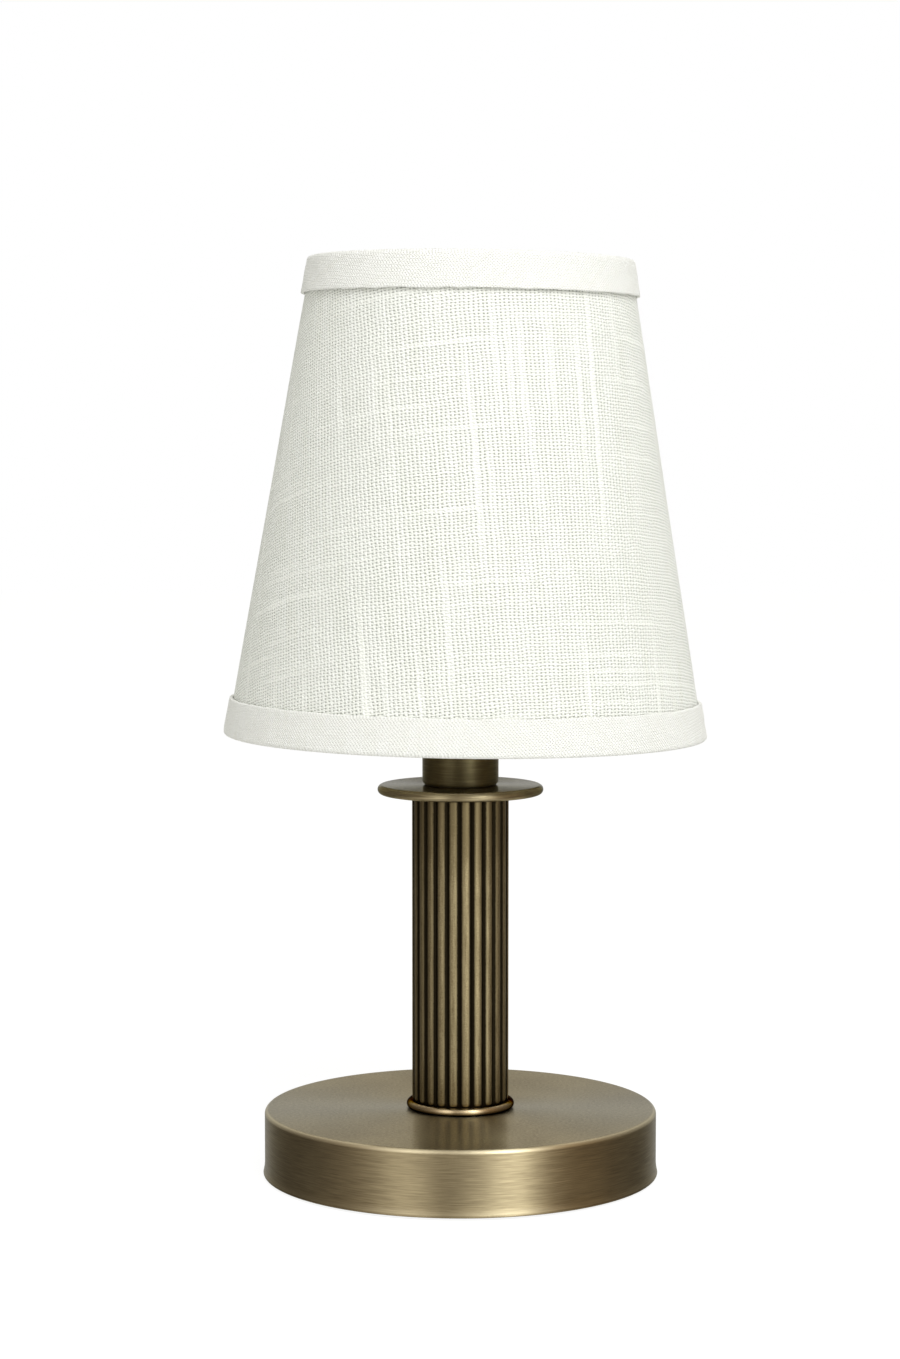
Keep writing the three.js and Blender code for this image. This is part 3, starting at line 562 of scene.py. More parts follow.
def turned_metal(name, light, dark, roughness, streak, speckle, edge=None, underside_shade=None, tint=EDGE_TINT,
                 polish=FLAT_POLISH):
    """Brushed metal that was finished on a lathe: fine lines round the axis, fine grain on the flat faces."""
    material, tree, shader = new_material(name, Metallic=1.0, Anisotropic=0.95, Anisotropic_Rotation=0.25,
                                          Specular_Tint=tint)
    place, x, y, profile = turned_coordinates(tree)
    lines = combine(tree, times(tree, x, 110.0), times(tree, y, 110.0), times(tree, profile, 3400.0))
    brush = noise_value(tree, lines, 1.0, rough=0.6)
    grain = noise_value(tree, place, 1000.0, detail=3.0, rough=0.75)
    patina = noise_value(tree, place, 38.0, detail=3.0)
    normal = node(tree, "SeparateXYZ", {"Vector": node(tree, "TexCoord").outputs["Normal"]})
    facing_up = normal.outputs["Z"]
    flat = remap(tree, calc(tree, "ABSOLUTE", facing_up), 0.6, 0.95)
    fine = between(tree, flat, brush, grain)
    swing = times(tree, less(tree, fine, 0.5), between(tree, flat, streak, speckle))
    cloud = times(tree, less(tree, patina, 0.5), 1.2)
    share = plus(tree, plus(tree, swing, cloud), 0.5)
    share.node.use_clamp = True
    colour = blend_colours(tree, share, light, dark)
    # The upper rounded edge is lighter: partly wear and partly a painted highlight
    if edge:
        upward = remap(tree, facing_up, 0.1, 0.45)
        corner = times(tree, upward, remap(tree, facing_up, 0.85, 0.99, 1.0, 0.0))
        colour = blend_colours(tree, corner, colour, edge)
    # Painted shade on faces that look down, as in the crease where the ring meets the base
    if underside_shade:
        colour = blend_colours(tree, remap(tree, facing_up, -0.5, -0.1, 1.0, 0.0), colour, underside_shade)
    rough = remap(tree, fine, 0.3, 0.7, roughness - 0.03, roughness + 0.03)
    rough = less(tree, rough, times(tree, flat, polish))
    connect(tree, shader, Base_Color=colour, Roughness=rough)
    add_bump(tree, shader, fine, 0.25, BRUSH_RELIEF)
    add_round_grain(tree, shader)
    return material


def base_brass():
    """The base's brass, lighter on its upper edge: partly real wear and partly a painted highlight."""
    return turned_metal("antique_brass_base", rgb(146, 133, 103), rgb(114, 102, 78), 0.42, 2.0, 3.4,
                        edge=rgb(182, 170, 140))


def ring_brass():
    """The foot ring's brass, which the dark finish covers more, with painted shade on its underside where it
    meets the base.
    """
    return turned_metal("antique_brass_ring", rgb(178, 160, 128), rgb(110, 95, 71), 0.26, 1.6, 3.0,
                        tint=GROOVE_TINT, underside_shade=rgb(34, 28, 18))


def collar_brass():
    """The collar's brass, partly covered by the dark finish and darkened at flat angles by painted shade of
    the lampshade above, and smoother on top.
    """
    # Partly dark finish and partly painted shade: the lower flat-angle tint darkens the collar's top under
    # the lampshade
    return turned_metal("antique_brass_collar", rgb(170, 156, 122), rgb(118, 106, 80), 0.38, 2.0, 3.4,
                        tint=FINISH_AND_SHADE_TINT, polish=0.2)


def reed_brass():
    """The column's brass: the same metal, drawn lengthwise, with the dark finish left in its grooves and
    painted shadow darkening its top under the collar.
    """
    material, tree, shader = new_material("antique_brass_reeded", Metallic=1.0, Anisotropic=0.6)
    place, x, y, profile = turned_coordinates(tree)
    height = node(tree, "SeparateXYZ", {"Vector": place}).outputs["Z"]
    crest = remap(tree, less(tree, height, profile), COLUMN_RADIUS - REED_DEPTH, COLUMN_RADIUS)
    drawn = combine(tree, times(tree, x, 1600.0), times(tree, y, 1600.0), times(tree, height, 90.0))
    lines = noise_value(tree, drawn, 1.0, detail=3.0)
    grain = noise_value(tree, place, 2200.0, rough=0.7)
    wear = plus(tree, crest, times(tree, less(tree, grain, 0.5), 0.3))
    share = remap(tree, wear, 0.55, 0.86)
    # Painted shadow: the tone darkens towards the top of the column, where the collar and lampshade shade it
    painted_shadow = remap(tree, height, COLUMN_TOP - SHADOW_BELOW_COLLAR, COLUMN_TOP, 0.0, 0.3)
    tone = plus(tree, plus(tree, times(tree, lines, 0.5), times(tree, grain, 0.5)), painted_shadow)
    metal = blend_colours(tree, remap(tree, tone, 0.35, 0.65), rgb(144, 131, 99), rgb(102, 90, 64))
    connect(tree, shader, Base_Color=blend_colours(tree, share, rgb(26, 21, 12), metal),
            Specular_Tint=blend_colours(tree, share, GROOVE_TINT, EDGE_TINT),
            Roughness=less(tree, 0.5, times(tree, share, 0.08)))
    add_round_grain(tree, shader)
    add_bump(tree, shader, plus(tree, lines, grain), 0.25, GRAIN_RELIEF)
    return material


def dark_brass():
    return turned_metal("dark_brass", rgb(122, 111, 80), rgb(92, 83, 58), 0.5, 1.6, 3.0)


def grained(name, light, dark, roughness, scale, strength, cloud_scale=0.05, swing=0.05, **values):
    """Fine grain, with tone and gloss that change a little, for the small inner pieces."""
    material, tree, shader = new_material(name, **values)
    place = object_place(tree)
    grain = noise_value(tree, place, scale, detail=3.0)
    cloud = noise_value(tree, place, scale * cloud_scale)
    share = remap(tree, plus(tree, grain, cloud), 0.7, 1.3)
    connect(tree, shader, Base_Color=blend_colours(tree, share, light, dark),
            Roughness=remap(tree, cloud, 0.3, 0.7, roughness - swing, roughness + swing))
    add_bump(tree, shader, grain, strength, GRAIN_RELIEF)
    return material


def plain_metal(name, light, dark, roughness, scale, strength=0.15):
    """The same on metal."""
    return grained(name, light, dark, roughness, scale, strength, 0.06, 0.06, Metallic=1.0)


def felt_cloth():
    """Dense felt: short fibres that cross in all directions."""
    material, tree, shader = new_material("felt", Roughness=1.0)
    place = object_place(tree)
    cells = node(tree, "TexVoronoi", {"Vector": place, "Scale": 1400.0}, feature="DISTANCE_TO_EDGE")
    fibres = cells.outputs["Distance"]
    cloud = noise_value(tree, place, 90.0, detail=4.0)
    share = remap(tree, plus(tree, fibres, cloud), 0.4, 0.9)
    connect(tree, shader, Base_Color=blend_colours(tree, share, rgb(30, 44, 34), rgb(52, 68, 55)))
    add_bump(tree, shader, fibres, 0.6, 0.4 * MM)
    return material


def woven(name, pitch, turn, tint, pore_shade, depth, slub, strength):
    """Plain weave in the cloth's own flat coordinates: round threads, pores between them darkened with
    painted shade, and stray slubs.
    """
    material, tree, shader = new_material(name, Roughness=0.92, Sheen_Weight=0.1, Sheen_Roughness=0.6,
                                          Specular_IOR_Level=0.2)
    place, across, along = thread_coordinates(tree, pitch, turn)
    warp_number = calc(tree, "FLOOR", across)
    weft_number = calc(tree, "FLOOR", along)
    warp_place = combine(tree, times(tree, warp_number, 7.31), times(tree, along, 0.03), 0.0)
    weft_place = combine(tree, times(tree, across, 0.04), times(tree, weft_number, 5.77), 3.0)
    warp_tone = noise_value(tree, warp_place, 1.0, detail=1.0)
    weft_tone = noise_value(tree, weft_place, 1.0, detail=1.0)
    warp_slub = thick_thread(tree, across, along, 0.7, 0.01, 11.0, slub)
    weft_slub = thick_thread(tree, along, across, 0.8, 0.02, 31.0, 0.8 * slub)
    thick = larger(tree, warp_slub, weft_slub)
    warp_round = roundness(tree, across)
    weft_round = roundness(tree, along)
    phase = plus(tree, less(tree, along, 0.5), warp_number)
    over = times(tree, calc(tree, "SINE", times(tree, phase, math.pi)), warp_round)
    warp = times(tree, calc(tree, "POWER", warp_round, 0.6), plus(tree, 0.75, times(tree, over, THREAD_RISE)))
    weft = times(tree, calc(tree, "POWER", weft_round, 0.6), less(tree, 0.77, times(tree, over, THREAD_RISE)))
    hair_place = combine(tree, times(tree, across, 7.0), times(tree, along, 5.0), 0.0)
    hair = noise_value(tree, hair_place, 1.0, detail=3.0)
    woven_height = plus(tree, larger(tree, warp, weft), times(tree, hair, 0.15))
    tall = between(tree, times(tree, thick, 0.4), woven_height, 1.1)
    warp_gap = gap_beside(tree, warp_round, warp_tone)
    weft_gap = gap_beside(tree, weft_round, weft_tone)
    crossing = times(tree, warp_gap, weft_gap)
    along_gap = times(tree, larger(tree, warp_gap, weft_gap), GAP_SHADE)
    openness = remap(tree, noise_value(tree, place, 22.0), 0.35, 0.65, 0.75, 1.0)
    open_share = times(tree, larger(tree, crossing, along_gap), openness)
    share = times(tree, open_share, times(tree, less(tree, 1.0, thick), depth))
    uneven = plus(tree, times(tree, warp_tone, 0.6), times(tree, hair, 0.4))
    low = (tint[0] * 0.98, tint[1] * 0.98, tint[2] * 0.96, 1.0)
    thread = blend_colours(tree, remap(tree, uneven, 0.35, 0.6), low, tint)
    # Painted shade in the pores and gaps between the threads
    connect(tree, shader, Base_Color=blend_colours(tree, share, thread, pore_shade))
    add_bump(tree, shader, tall, strength, WEAVE_RELIEF)
    return material


def thread_coordinates(tree, pitch, turn):
    """The cloth's flat place, and the same in threads across and along, a little swayed."""
    flat = node(tree, "UVMap", uv_map="Flat").outputs["UV"]
    turned = node(tree, "VectorRotate", {"Vector": flat, "Angle": math.radians(turn)}, rotation_type="Z_AXIS")
    place = turned.outputs["Vector"]
    sway = node(tree, "TexNoise", {"Vector": place, "Scale": 140.0, "Detail": 2.0})
    shift = node(tree, "VectorMath", {0: sway.outputs["Color"], 1: (0.5, 0.5, 0.5)}, operation="SUBTRACT")
    bent = node(tree, "VectorMath", {0: shift.outputs["Vector"], "Scale": 0.9 * pitch[0]}, operation="SCALE")
    moved = node(tree, "VectorMath", {0: place, 1: bent.outputs["Vector"]}, operation="ADD")
    parts = node(tree, "SeparateXYZ", {"Vector": moved.outputs["Vector"]})
    across = calc(tree, "DIVIDE", parts.outputs["X"], pitch[0])
    return place, across, calc(tree, "DIVIDE", parts.outputs["Y"], pitch[1])


def roundness(tree, threads):
    """1 on the middle of each thread and 0 between two."""
    return calc(tree, "ABSOLUTE", calc(tree, "SINE", times(tree, threads, math.pi)))


def thick_thread(tree, over, onward, fine, long, seed, slub):
    """Where a few threads side by side swell for some centimetres, which closes the pores there."""
    place = combine(tree, times(tree, over, fine), times(tree, onward, long), seed)
    return remap(tree, noise_value(tree, place, 1.0, detail=0.0), 0.66, 0.78, 0.0, slub)


def gap_beside(tree, roundness_here, tone):
    """1 in the gap between two threads, 0 on them; a thin thread leaves a wide gap."""
    edge = remap(tree, tone, 0.35, 0.65, 1.25 * THREAD_GAP, 0.75 * THREAD_GAP)
    return remap(tree, roundness_here, 0.0, edge, 1.0, 0.0, interpolation_type="SMOOTHSTEP")


def clear_glass():
    """Clear blown glass, with the faint waviness of its wall."""
    material, tree, shader = new_material("clear_glass", Roughness=0.01, IOR=1.47, Transmission_Weight=1.0)
    wave = noise_value(tree, object_place(tree), 60.0, detail=1.0)
    add_bump(tree, shader, wave, 0.05, 0.3 * MM)
    connect(tree, shader, Base_Color=blend_colours(tree, wave, rgb(250, 252, 251), rgb(244, 249, 247)))
    return material


def make_materials():
    """All materials, by the record's slot, and those of the brass pieces by piece."""
    return {
        "base": base_brass(),
        "reeded": reed_brass(),
        "ring": ring_brass(),
        "collar": collar_brass(),
        "dark_brass": dark_brass(),
        "bright_brass": plain_metal("bright_brass", rgb(206, 176, 104), rgb(172, 142, 78), 0.28, 700.0),
        "cast_iron": plain_metal("cast_iron", rgb(74, 75, 78), rgb(44, 45, 47), 0.7, 500.0, 0.8),
        "zinc_steel": plain_metal("zinc_steel", rgb(190, 193, 196), rgb(150, 153, 158), 0.32, 600.0),
        "nickel": plain_metal("nickel", rgb(212, 209, 202), rgb(182, 179, 171), 0.26, 600.0),
        "solder": plain_metal("solder", rgb(178, 179, 182), rgb(140, 141, 146), 0.42, 900.0, 0.5),
        "tungsten": plain_metal("tungsten", rgb(112, 110, 107), rgb(70, 68, 66), 0.35, 2500.0),
        "spring_wire": plain_metal("spring_wire", rgb(196, 176, 122), rgb(158, 138, 92), 0.32, 900.0),
        "felt": felt_cloth(),
        "nylon": grained("nylon", rgb(26, 25, 24), rgb(17, 16, 15), 0.5, 1200.0, 0.2),
        "fibre": grained("fibre", rgb(112, 95, 72), rgb(88, 72, 52), 0.8, 700.0, 0.6),
        "phenolic": grained("phenolic", rgb(30, 24, 19), rgb(18, 15, 12), 0.34, 500.0, 0.2),
        "black_glass": grained("black_glass", rgb(22, 20, 24), rgb(12, 11, 14), 0.16, 400.0, 0.05),
        "styrene": grained("styrene", rgb(245, 243, 236), rgb(238, 236, 228), 0.5, 900.0, 0.1),
        "clear_glass": clear_glass(),
        # The second colour of each cloth is the painted shade in its pores
        "linen": woven("linen", LINEN_PITCH, LINEN_TURN, rgb(253, 254, 249), rgb(112, 118, 100),
                       depth=1.0, slub=1.0, strength=1.0),
        "bias_tape": woven("bias_tape", TAPE_PITCH, TAPE_TURN, rgb(252, 252, 249), rgb(128, 126, 110),
                           depth=0.5, slub=0.0, strength=0.7),
    }


materials = make_materials()


# Base


def make_base_shell():
    rim = BASE_RADIUS + BASE_FLARE
    inner = BASE_RADIUS - BASE_SHEET
    flare_top = BASE_RIM_LIFT + BASE_FLARE_HEIGHT
    roof = BASE_HEIGHT - BASE_SHEET
    flare = []
    for i in range(9):
        share = i / 8
        rise = (flare_top - BASE_RIM_LIFT - BASE_FLARE) * share
        flare.append((BASE_RADIUS + BASE_FLARE * (1 - share) ** 2, BASE_RIM_LIFT + BASE_FLARE + rise))
    outline = [(inner, BASE_RIM_LIFT)]
    outline += arc(rim - BASE_FLARE, BASE_RIM_LIFT + BASE_FLARE, BASE_FLARE, -90, 0, 6)[:-1]
    outline += flare
    outline += arc(BASE_RADIUS - BASE_EDGE_ROUND, BASE_HEIGHT - BASE_EDGE_ROUND, BASE_EDGE_ROUND, 0, 90, 14)
    outline += [(BASE_RADIUS * 0.75, BASE_HEIGHT), (BASE_RADIUS * 0.5, BASE_HEIGHT)]
    outline += [(ROD_HOLE, BASE_HEIGHT), (ROD_HOLE, roof), (inner - 1.0 * MM, roof), (inner, roof - 1.0 * MM)]
    piece = lathe("base_shell", outline, LARGE, "stand", "antique_brass", material="base")
    reach = 10.0 * MM
    hole = [(0.0, -reach), (BUSHING_RADIUS + FIT, -reach), (BUSHING_RADIUS + FIT, reach), (0.0, reach)]
    points, faces = lathe_mesh(hole, SMALL, laid_along_y)
    cut_by(piece, [point + Vector((0.0, BASE_RADIUS, 0.0)) for point in points], faces)


def make_felt():
    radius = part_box("felt_pad")[1][0]
    outline = softened([(0.0, 0.0), (radius, 0.0), (radius, FELT_THICKNESS), (0.0, FELT_THICKNESS)],
                       FELT_EDGE_ROUND)

    def fuzzy(point):
        if point.z > 0.2 * MM and Vector((point.x, point.y)).length > radius - 1.0 * MM:
            return point * (1.0 - 0.002 * noise.noise(point * 900.0) ** 2)
        return point
    lathe("felt_pad", outline, LARGE, "stand", "felt", fuzzy)


def make_cord_bushing():
    flange = BUSHING_RADIUS + BUSHING_FLANGE
    face = BUSHING_DEPTH + BUSHING_FLANGE_THICKNESS
    start = BASE_RADIUS + FIT - BUSHING_DEPTH
    outline = softened([
        (CORD_BORE_RADIUS, 0.0),
        (BUSHING_RADIUS, 0.0),
        (BUSHING_RADIUS, BUSHING_DEPTH),
        (flange, BUSHING_DEPTH),
        (flange, face),
        (CORD_BORE_RADIUS, face),
    ], BUSHING_EDGE_ROUND, 6)

    def placed(point):
        return laid_along_y(point) + Vector((0.0, start, 0.0))
    lathe("cord_bushing", outline, SMALL, "stand", "nylon", placed)


# Column


def make_round_edged(name, bottom, thickness, radius, material):
    """A disk round the lamp's tube, with a full round edge."""
    half = thickness / 2
    outline = [(ROD_HOLE, bottom)]
    outline += arc(radius - half, bottom + half, half, -90, 90, 24)
    outline += [(ROD_HOLE, bottom + thickness)]
    lathe(name, outline, LARGE, "stand", "antique_brass", material=material)


def reed_section():
    """Outline of the reeded tube: each reed is one arc from groove to groove."""
    half_pitch = math.pi / REED_COUNT
    valley_x = (COLUMN_RADIUS - REED_DEPTH) * math.cos(half_pitch)
    valley_y = (COLUMN_RADIUS - REED_DEPTH) * math.sin(half_pitch)
    centre = (COLUMN_RADIUS ** 2 - valley_x ** 2 - valley_y ** 2) / (2 * (COLUMN_RADIUS - valley_x))
    reed_half = math.atan2(valley_y, valley_x - centre)
    turn = -math.pi / 2 + math.radians(REED_PHASE)
    steps = 14
    points = []
    for i in range(REED_COUNT):
        angle = half_pitch * (2 * i + 1) + turn
        for k in range(steps):
            spin = angle - reed_half + 2 * reed_half * k / steps
            points.append(polar(centre, angle, 0.0) + polar(COLUMN_RADIUS - centre, spin, 0.0))
    return points


def make_column():
    """The reeded tube; each reed ends in a small dome above the foot ring and below the collar."""
    section = reed_section()
    valley = COLUMN_RADIUS - REED_DEPTH
    dome = []
    for i in range(8):
        angle = math.pi / 2 * i / 7
        dome.append((REED_END_DOME * (1 - math.cos(angle)), math.sin(angle)))
    rows = [(RING_TOP + rise, share) for rise, share in dome]
    rows += [(RING_TOP + COLUMN_LENGTH * i / 8, 1.0) for i in range(1, 8)]
    rows += [(COLUMN_TOP - rise, share) for rise, share in reversed(dome)]
    points = []
    for height, share in rows:
        for point in section:
            radius = valley + (point.length - valley) * share
            points.append(point.normalized() * radius + Vector((0.0, 0.0, height)))
    for height in (COLUMN_TOP, RING_TOP):
        for point in section:
            points.append(point.normalized() * COLUMN_BORE + Vector((0.0, 0.0, height)))
    faces = grid_faces(len(rows) + 2, len(section))
    make_piece("reeded_column", points, faces, "stand", "antique_brass", material="reeded", sharp=50.0)


def make_cup():
    inner = CUP_RADIUS - CUP_WALL
    outline = [(ROD_HOLE, COLLAR_TOP)]
    outline += arc(CUP_RADIUS - CUP_EDGE_ROUND, COLLAR_TOP + CUP_EDGE_ROUND, CUP_EDGE_ROUND, -90, 0, 12)
    outline += arc(CUP_RADIUS - CUP_WALL / 2, CUP_TOP - CUP_WALL / 2, CUP_WALL / 2, 0, 180, 8)
    outline += arc(inner - CUP_WALL, COLLAR_TOP + CUP_FLOOR + CUP_WALL, CUP_WALL, 0, -90, 6)
    outline += [(ROD_HOLE, COLLAR_TOP + CUP_FLOOR)]
    lathe("socket_cup", outline, MIDDLE, "stand", "dark_brass")


# Socket and bulb


def make_screw_cap():
    """Thin screw cap with a real helical thread rolled into its wall."""
    rows = 90
    thread_bottom = CAP_BOTTOM + CAP_PLAIN_EDGE
    thread_top = SKIRT_BOTTOM - CAP_PLAIN_EDGE

    def wall_radius(angle, height):
        turn = (height - thread_bottom) / THREAD_PITCH - angle / (2 * math.pi)
        swell = (1 - math.cos(2 * math.pi * turn)) / 2
        inside = min(max((height - thread_bottom) / THREAD_PITCH, 0.0), 1.0)
        inside *= min(max((thread_top - height) / THREAD_PITCH, 0.0), 1.0)
        return CAP_RADIUS - THREAD_DEPTH * (1 - swell) * inside - THREAD_DEPTH * 0.2 * (1 - inside)

    points = []
    for layer in (0.0, CAP_WALL):
        for i in range(rows + 1):
            height = CAP_BOTTOM + (SKIRT_BOTTOM - CAP_BOTTOM) * i / rows
            for k in range(MIDDLE):
                angle = 2 * math.pi * k / MIDDLE
                points.append(polar(wall_radius(angle, height) - layer, angle, height))
    low_edge = list(range(MIDDLE))
    high_edge = [rows * MIDDLE + k for k in reversed(low_edge)]
    outside = grid_faces(rows + 1, MIDDLE, closed=False)
    faces = thick_faces(outside, (rows + 1) * MIDDLE, [low_edge, high_edge])
    make_piece("bulb_screw_cap", points, faces, "bulb", "nickel")


def glass_outline():
    """Outside of the glass from the neck to the tip, a smooth curve of (radius, height)."""
    shoulders = [
        (NECK_RADIUS, 0.0),
        (NECK_RADIUS * 1.15, 0.03),
        (GLASS_RADIUS * 0.72, GLASS_GIRDLE * 0.45),
        (GLASS_RADIUS, GLASS_GIRDLE),
        (GLASS_RADIUS * 0.82, 0.68),
        (GLASS_RADIUS * 0.42, 0.9),
        (GLASS_RADIUS * 0.16, 0.985),
        (0.0, 1.0),
    ]
    knots = [Vector((radius, CAP_TOP + GLASS_LENGTH * share)) for radius, share in shoulders]
    steps = 56
    outline = []
    for i in range(steps + 1):
        place = (len(knots) - 1) * i / steps
        first = min(int(place), len(knots) - 2)
        t = place - first
        p0 = knots[first if first == 0 else first - 1]
        p1 = knots[first]
        p2 = knots[first + 1]
        p3 = knots[min(first + 2, len(knots) - 1)]
        v1 = (p2 - p0) * 0.5
        v2 = (p3 - p1) * 0.5
        cubic = 2 * p1 - 2 * p2 + v1 + v2
        square = -3 * p1 + 3 * p2 - 2 * v1 - v2
        point = cubic * t ** 3 + square * t ** 2 + v1 * t + p1
        outline.append((max(point.x, 0.0), point.y))
    return outline


def glass_radius_at(height):
    outline = glass_outline()
    for (low_radius, low), (high_radius, high) in zip(outline, outline[1:]):
        if height <= high:
            return low_radius + (high_radius - low_radius) * (height - low) / (high - low)
    return 0.0


def make_bulb_glass():
    outside = glass_outline()
    inside = []
    for (radius, height), (next_radius, next_height) in zip(outside, outside[1:]):
        run = math.hypot(next_radius - radius, next_height - height)
        inside.append((max(radius - GLASS_WALL * (next_height - height) / run, GLASS_WALL),
                       height + GLASS_WALL * (next_radius - radius) / run))
    outline = [(0.0, GLASS_TOP - GLASS_WALL)]
    outline += list(reversed(inside))
    outline += [(NECK_RADIUS - GLASS_WALL, GLASS_BOTTOM), (NECK_RADIUS, GLASS_BOTTOM)]
    outline += outside
    lathe("bulb_glass", outline, MIDDLE, "bulb", "clear_glass", sharp=60.0)


def make_bulb_cap():
    make_screw_cap()
    skirt = softened([
        (CAP_RADIUS - CAP_WALL, SKIRT_BOTTOM),
        (CAP_RADIUS, SKIRT_BOTTOM),
        (CAP_RADIUS, CAP_TOP),
        (CAP_RADIUS - CAP_WALL, CAP_TOP),
    ], SKIRT_EDGE_ROUND)
    lathe("bulb_cap_skirt", skirt, MIDDLE, "bulb", "nickel", stands_for=False)


def make_bulb_stem():
    flare = NECK_RADIUS - GLASS_WALL - FIT
    outline = softened([
        (0.0, GLASS_BOTTOM),
        (flare, GLASS_BOTTOM),
        (flare, GLASS_BOTTOM + 1.0 * MM),
        (STEM_RADIUS, GLASS_BOTTOM + 4.0 * MM),
        (STEM_RADIUS, STEM_TOP - 3.0 * MM),
        (STEM_RADIUS * 1.25, STEM_TOP - 1.5 * MM),
        (STEM_RADIUS, STEM_TOP),
        (0.0, STEM_TOP),
    ], STEM_ROUND, 5)
    lathe("bulb_stem", outline, SMALL, "bulb", "clear_glass", sharp=60.0)


def make_filament():
    for side, name in ((-1, "filament_lead_left"), (1, "filament_lead_right")):
        reach = side * FILAMENT_SPAN / 2
        path = smooth_path([
            (side * STEM_RADIUS / 2, 0.0, STEM_TOP + FIT),
            (side * STEM_RADIUS / 2, 0.0, STEM_TOP + FILAMENT_RISE * 0.3),
            (reach * 0.8, 0.0, FILAMENT_HEIGHT - FILAMENT_RISE * 0.3),
            (reach, 0.0, FILAMENT_HEIGHT + 3 * LEAD_RADIUS),
        ], 24)
        tube(name, path, LEAD_RADIUS, 12, "bulb", "tungsten")
    end = FILAMENT_SPAN / 2 - 2 * LEAD_RADIUS - FIT
    span = smooth_path([
        (-end, 0.0, FILAMENT_HEIGHT),
        (-end * 0.4, 0.0, FILAMENT_HEIGHT + FILAMENT_SAG * 0.8),
        (0.0, 0.0, FILAMENT_HEIGHT + FILAMENT_SAG),
        (end * 0.4, 0.0, FILAMENT_HEIGHT + FILAMENT_SAG * 0.8),
        (end, 0.0, FILAMENT_HEIGHT),
    ], FILAMENT_TURNS * FILAMENT_STEPS)
    coil = []
    for i, point in enumerate(span):
        angle = 2 * math.pi * i / FILAMENT_STEPS
        coil.append(point + Vector((0.0, math.cos(angle), math.sin(angle))) * FILAMENT_COIL_RADIUS)
    tube("filament", coil, FILAMENT_WIRE_RADIUS, 6, "bulb", "tungsten")


# Shade


def linen_radius(height):
    return SHADE_BOTTOM_RADIUS + (SHADE_TOP_RADIUS - SHADE_BOTTOM_RADIUS) * height / SHADE_HEIGHT


LINEN_BOTTOM = HEM_THICKNESS + FIT
LINEN_TOP = SHADE_HEIGHT - LINEN_BOTTOM
LINER_OFFSET = LINEN_THICKNESS + FIT
WIRE_OFFSET = LINER_OFFSET + LINER_THICKNESS + FIT + RING_WIRE_RADIUS
HEM_INNER_OFFSET = WIRE_OFFSET + RING_WIRE_RADIUS + FIT
CONE_RISE = SHADE_HEIGHT / (SHADE_BOTTOM_RADIUS - SHADE_TOP_RADIUS)
CONE_SLANT = math.sqrt(1 + CONE_RISE ** 2)
UNROLL = 1 / CONE_SLANT


def eased(share):
    share = min(max(share, 0.0), 1.0)
    return share * share * (3 - 2 * share)


def rolled_sheet(name, slot, offset, thickness, lap, columns, rows):
    """A flat annular sector rolled into the shade's cone, its outer end lapped over its start at the back."""
    turn_lap = lap / SHADE_BOTTOM_RADIUS
    points = []
    flat_points = []
    for layer in (0.0, thickness):
        for i in range(rows + 1):
            height = LINEN_BOTTOM + (LINEN_TOP - LINEN_BOTTOM) * i / rows
            slant = linen_radius(height) * CONE_SLANT
            for k in range(columns + 1):
                turn = -math.pi + (2 * math.pi + turn_lap) * k / columns
                lift = 0.0 if lap == 0.0 else thickness * 1.05 * eased(2 * (turn - math.pi) / turn_lap + 1)
                circle = Vector((math.sin(turn) * 2.0, math.cos(turn) * 2.0, height * 20.0))
                sway = SHEET_SWAY * noise.noise(circle)
                radius = linen_radius(height) - offset - layer + lift + sway
                points.append(SHADE_PLACE @ polar(radius, turn - math.pi / 2, height))
                flat_points.append((slant * math.sin(turn * UNROLL), -slant * math.cos(turn * UNROLL)))
    across = columns + 1
    starts = [i * across + k for i in range(rows) for k in range(columns)]
    outside = [[a, a + 1, a + 1 + across, a + across] for a in starts]
    border = list(range(columns))
    border += [i * across + columns for i in range(rows)]
    border += [rows * across + k for k in range(columns, 0, -1)]
    border += [i * across for i in range(rows, 0, -1)]
    faces = thick_faces(outside, across * (rows + 1), [border])
    flats = [flat_points[corner] for face in faces for corner in face]
    return make_piece(name, points, faces, "shade", slot, flats=flats)


def hem_outline(edge, inward, turn_in):
    """(height, offset) of tape folded over an edge: a long leg outside, a short one inside, round folds."""
    out = FIT + HEM_THICKNESS
    inner = -HEM_INNER_OFFSET - HEM_THICKNESS / 2
    long_end = edge + inward * HEM_HEIGHT
    short_end = edge + inward * turn_in
    cap = edge + inward * HEM_THICKNESS
    corners = [
        (long_end, FIT),
        (long_end, out),
        (edge, out),
        (edge, inner),
        (short_end, inner),
        (short_end, -HEM_INNER_OFFSET),
        (cap, -HEM_INNER_OFFSET),
        (cap, FIT),
    ]
    corners = [Vector(corner) for corner in corners]
    rounds = [0.15, 0.55, 1.0, 0.6, 0.25, 0.2, 0.2, 0.2]
    outline = []
    for i, corner in enumerate(corners):
        after = corners[(i + 1) % len(corners)]
        radius = rounds[i] * HEM_THICKNESS * 1.3
        outline += round_corner(corners[i - 1], corner, after, radius, 0.48, 6)
    dense = []
    for i, point in enumerate(outline):
        after = outline[(i + 1) % len(outline)]
        pieces = max(1, int((after - point).length / HEM_SPAN))
        for k in range(pieces):
            dense.append(point + (after - point) * k / pieces)
    return dense


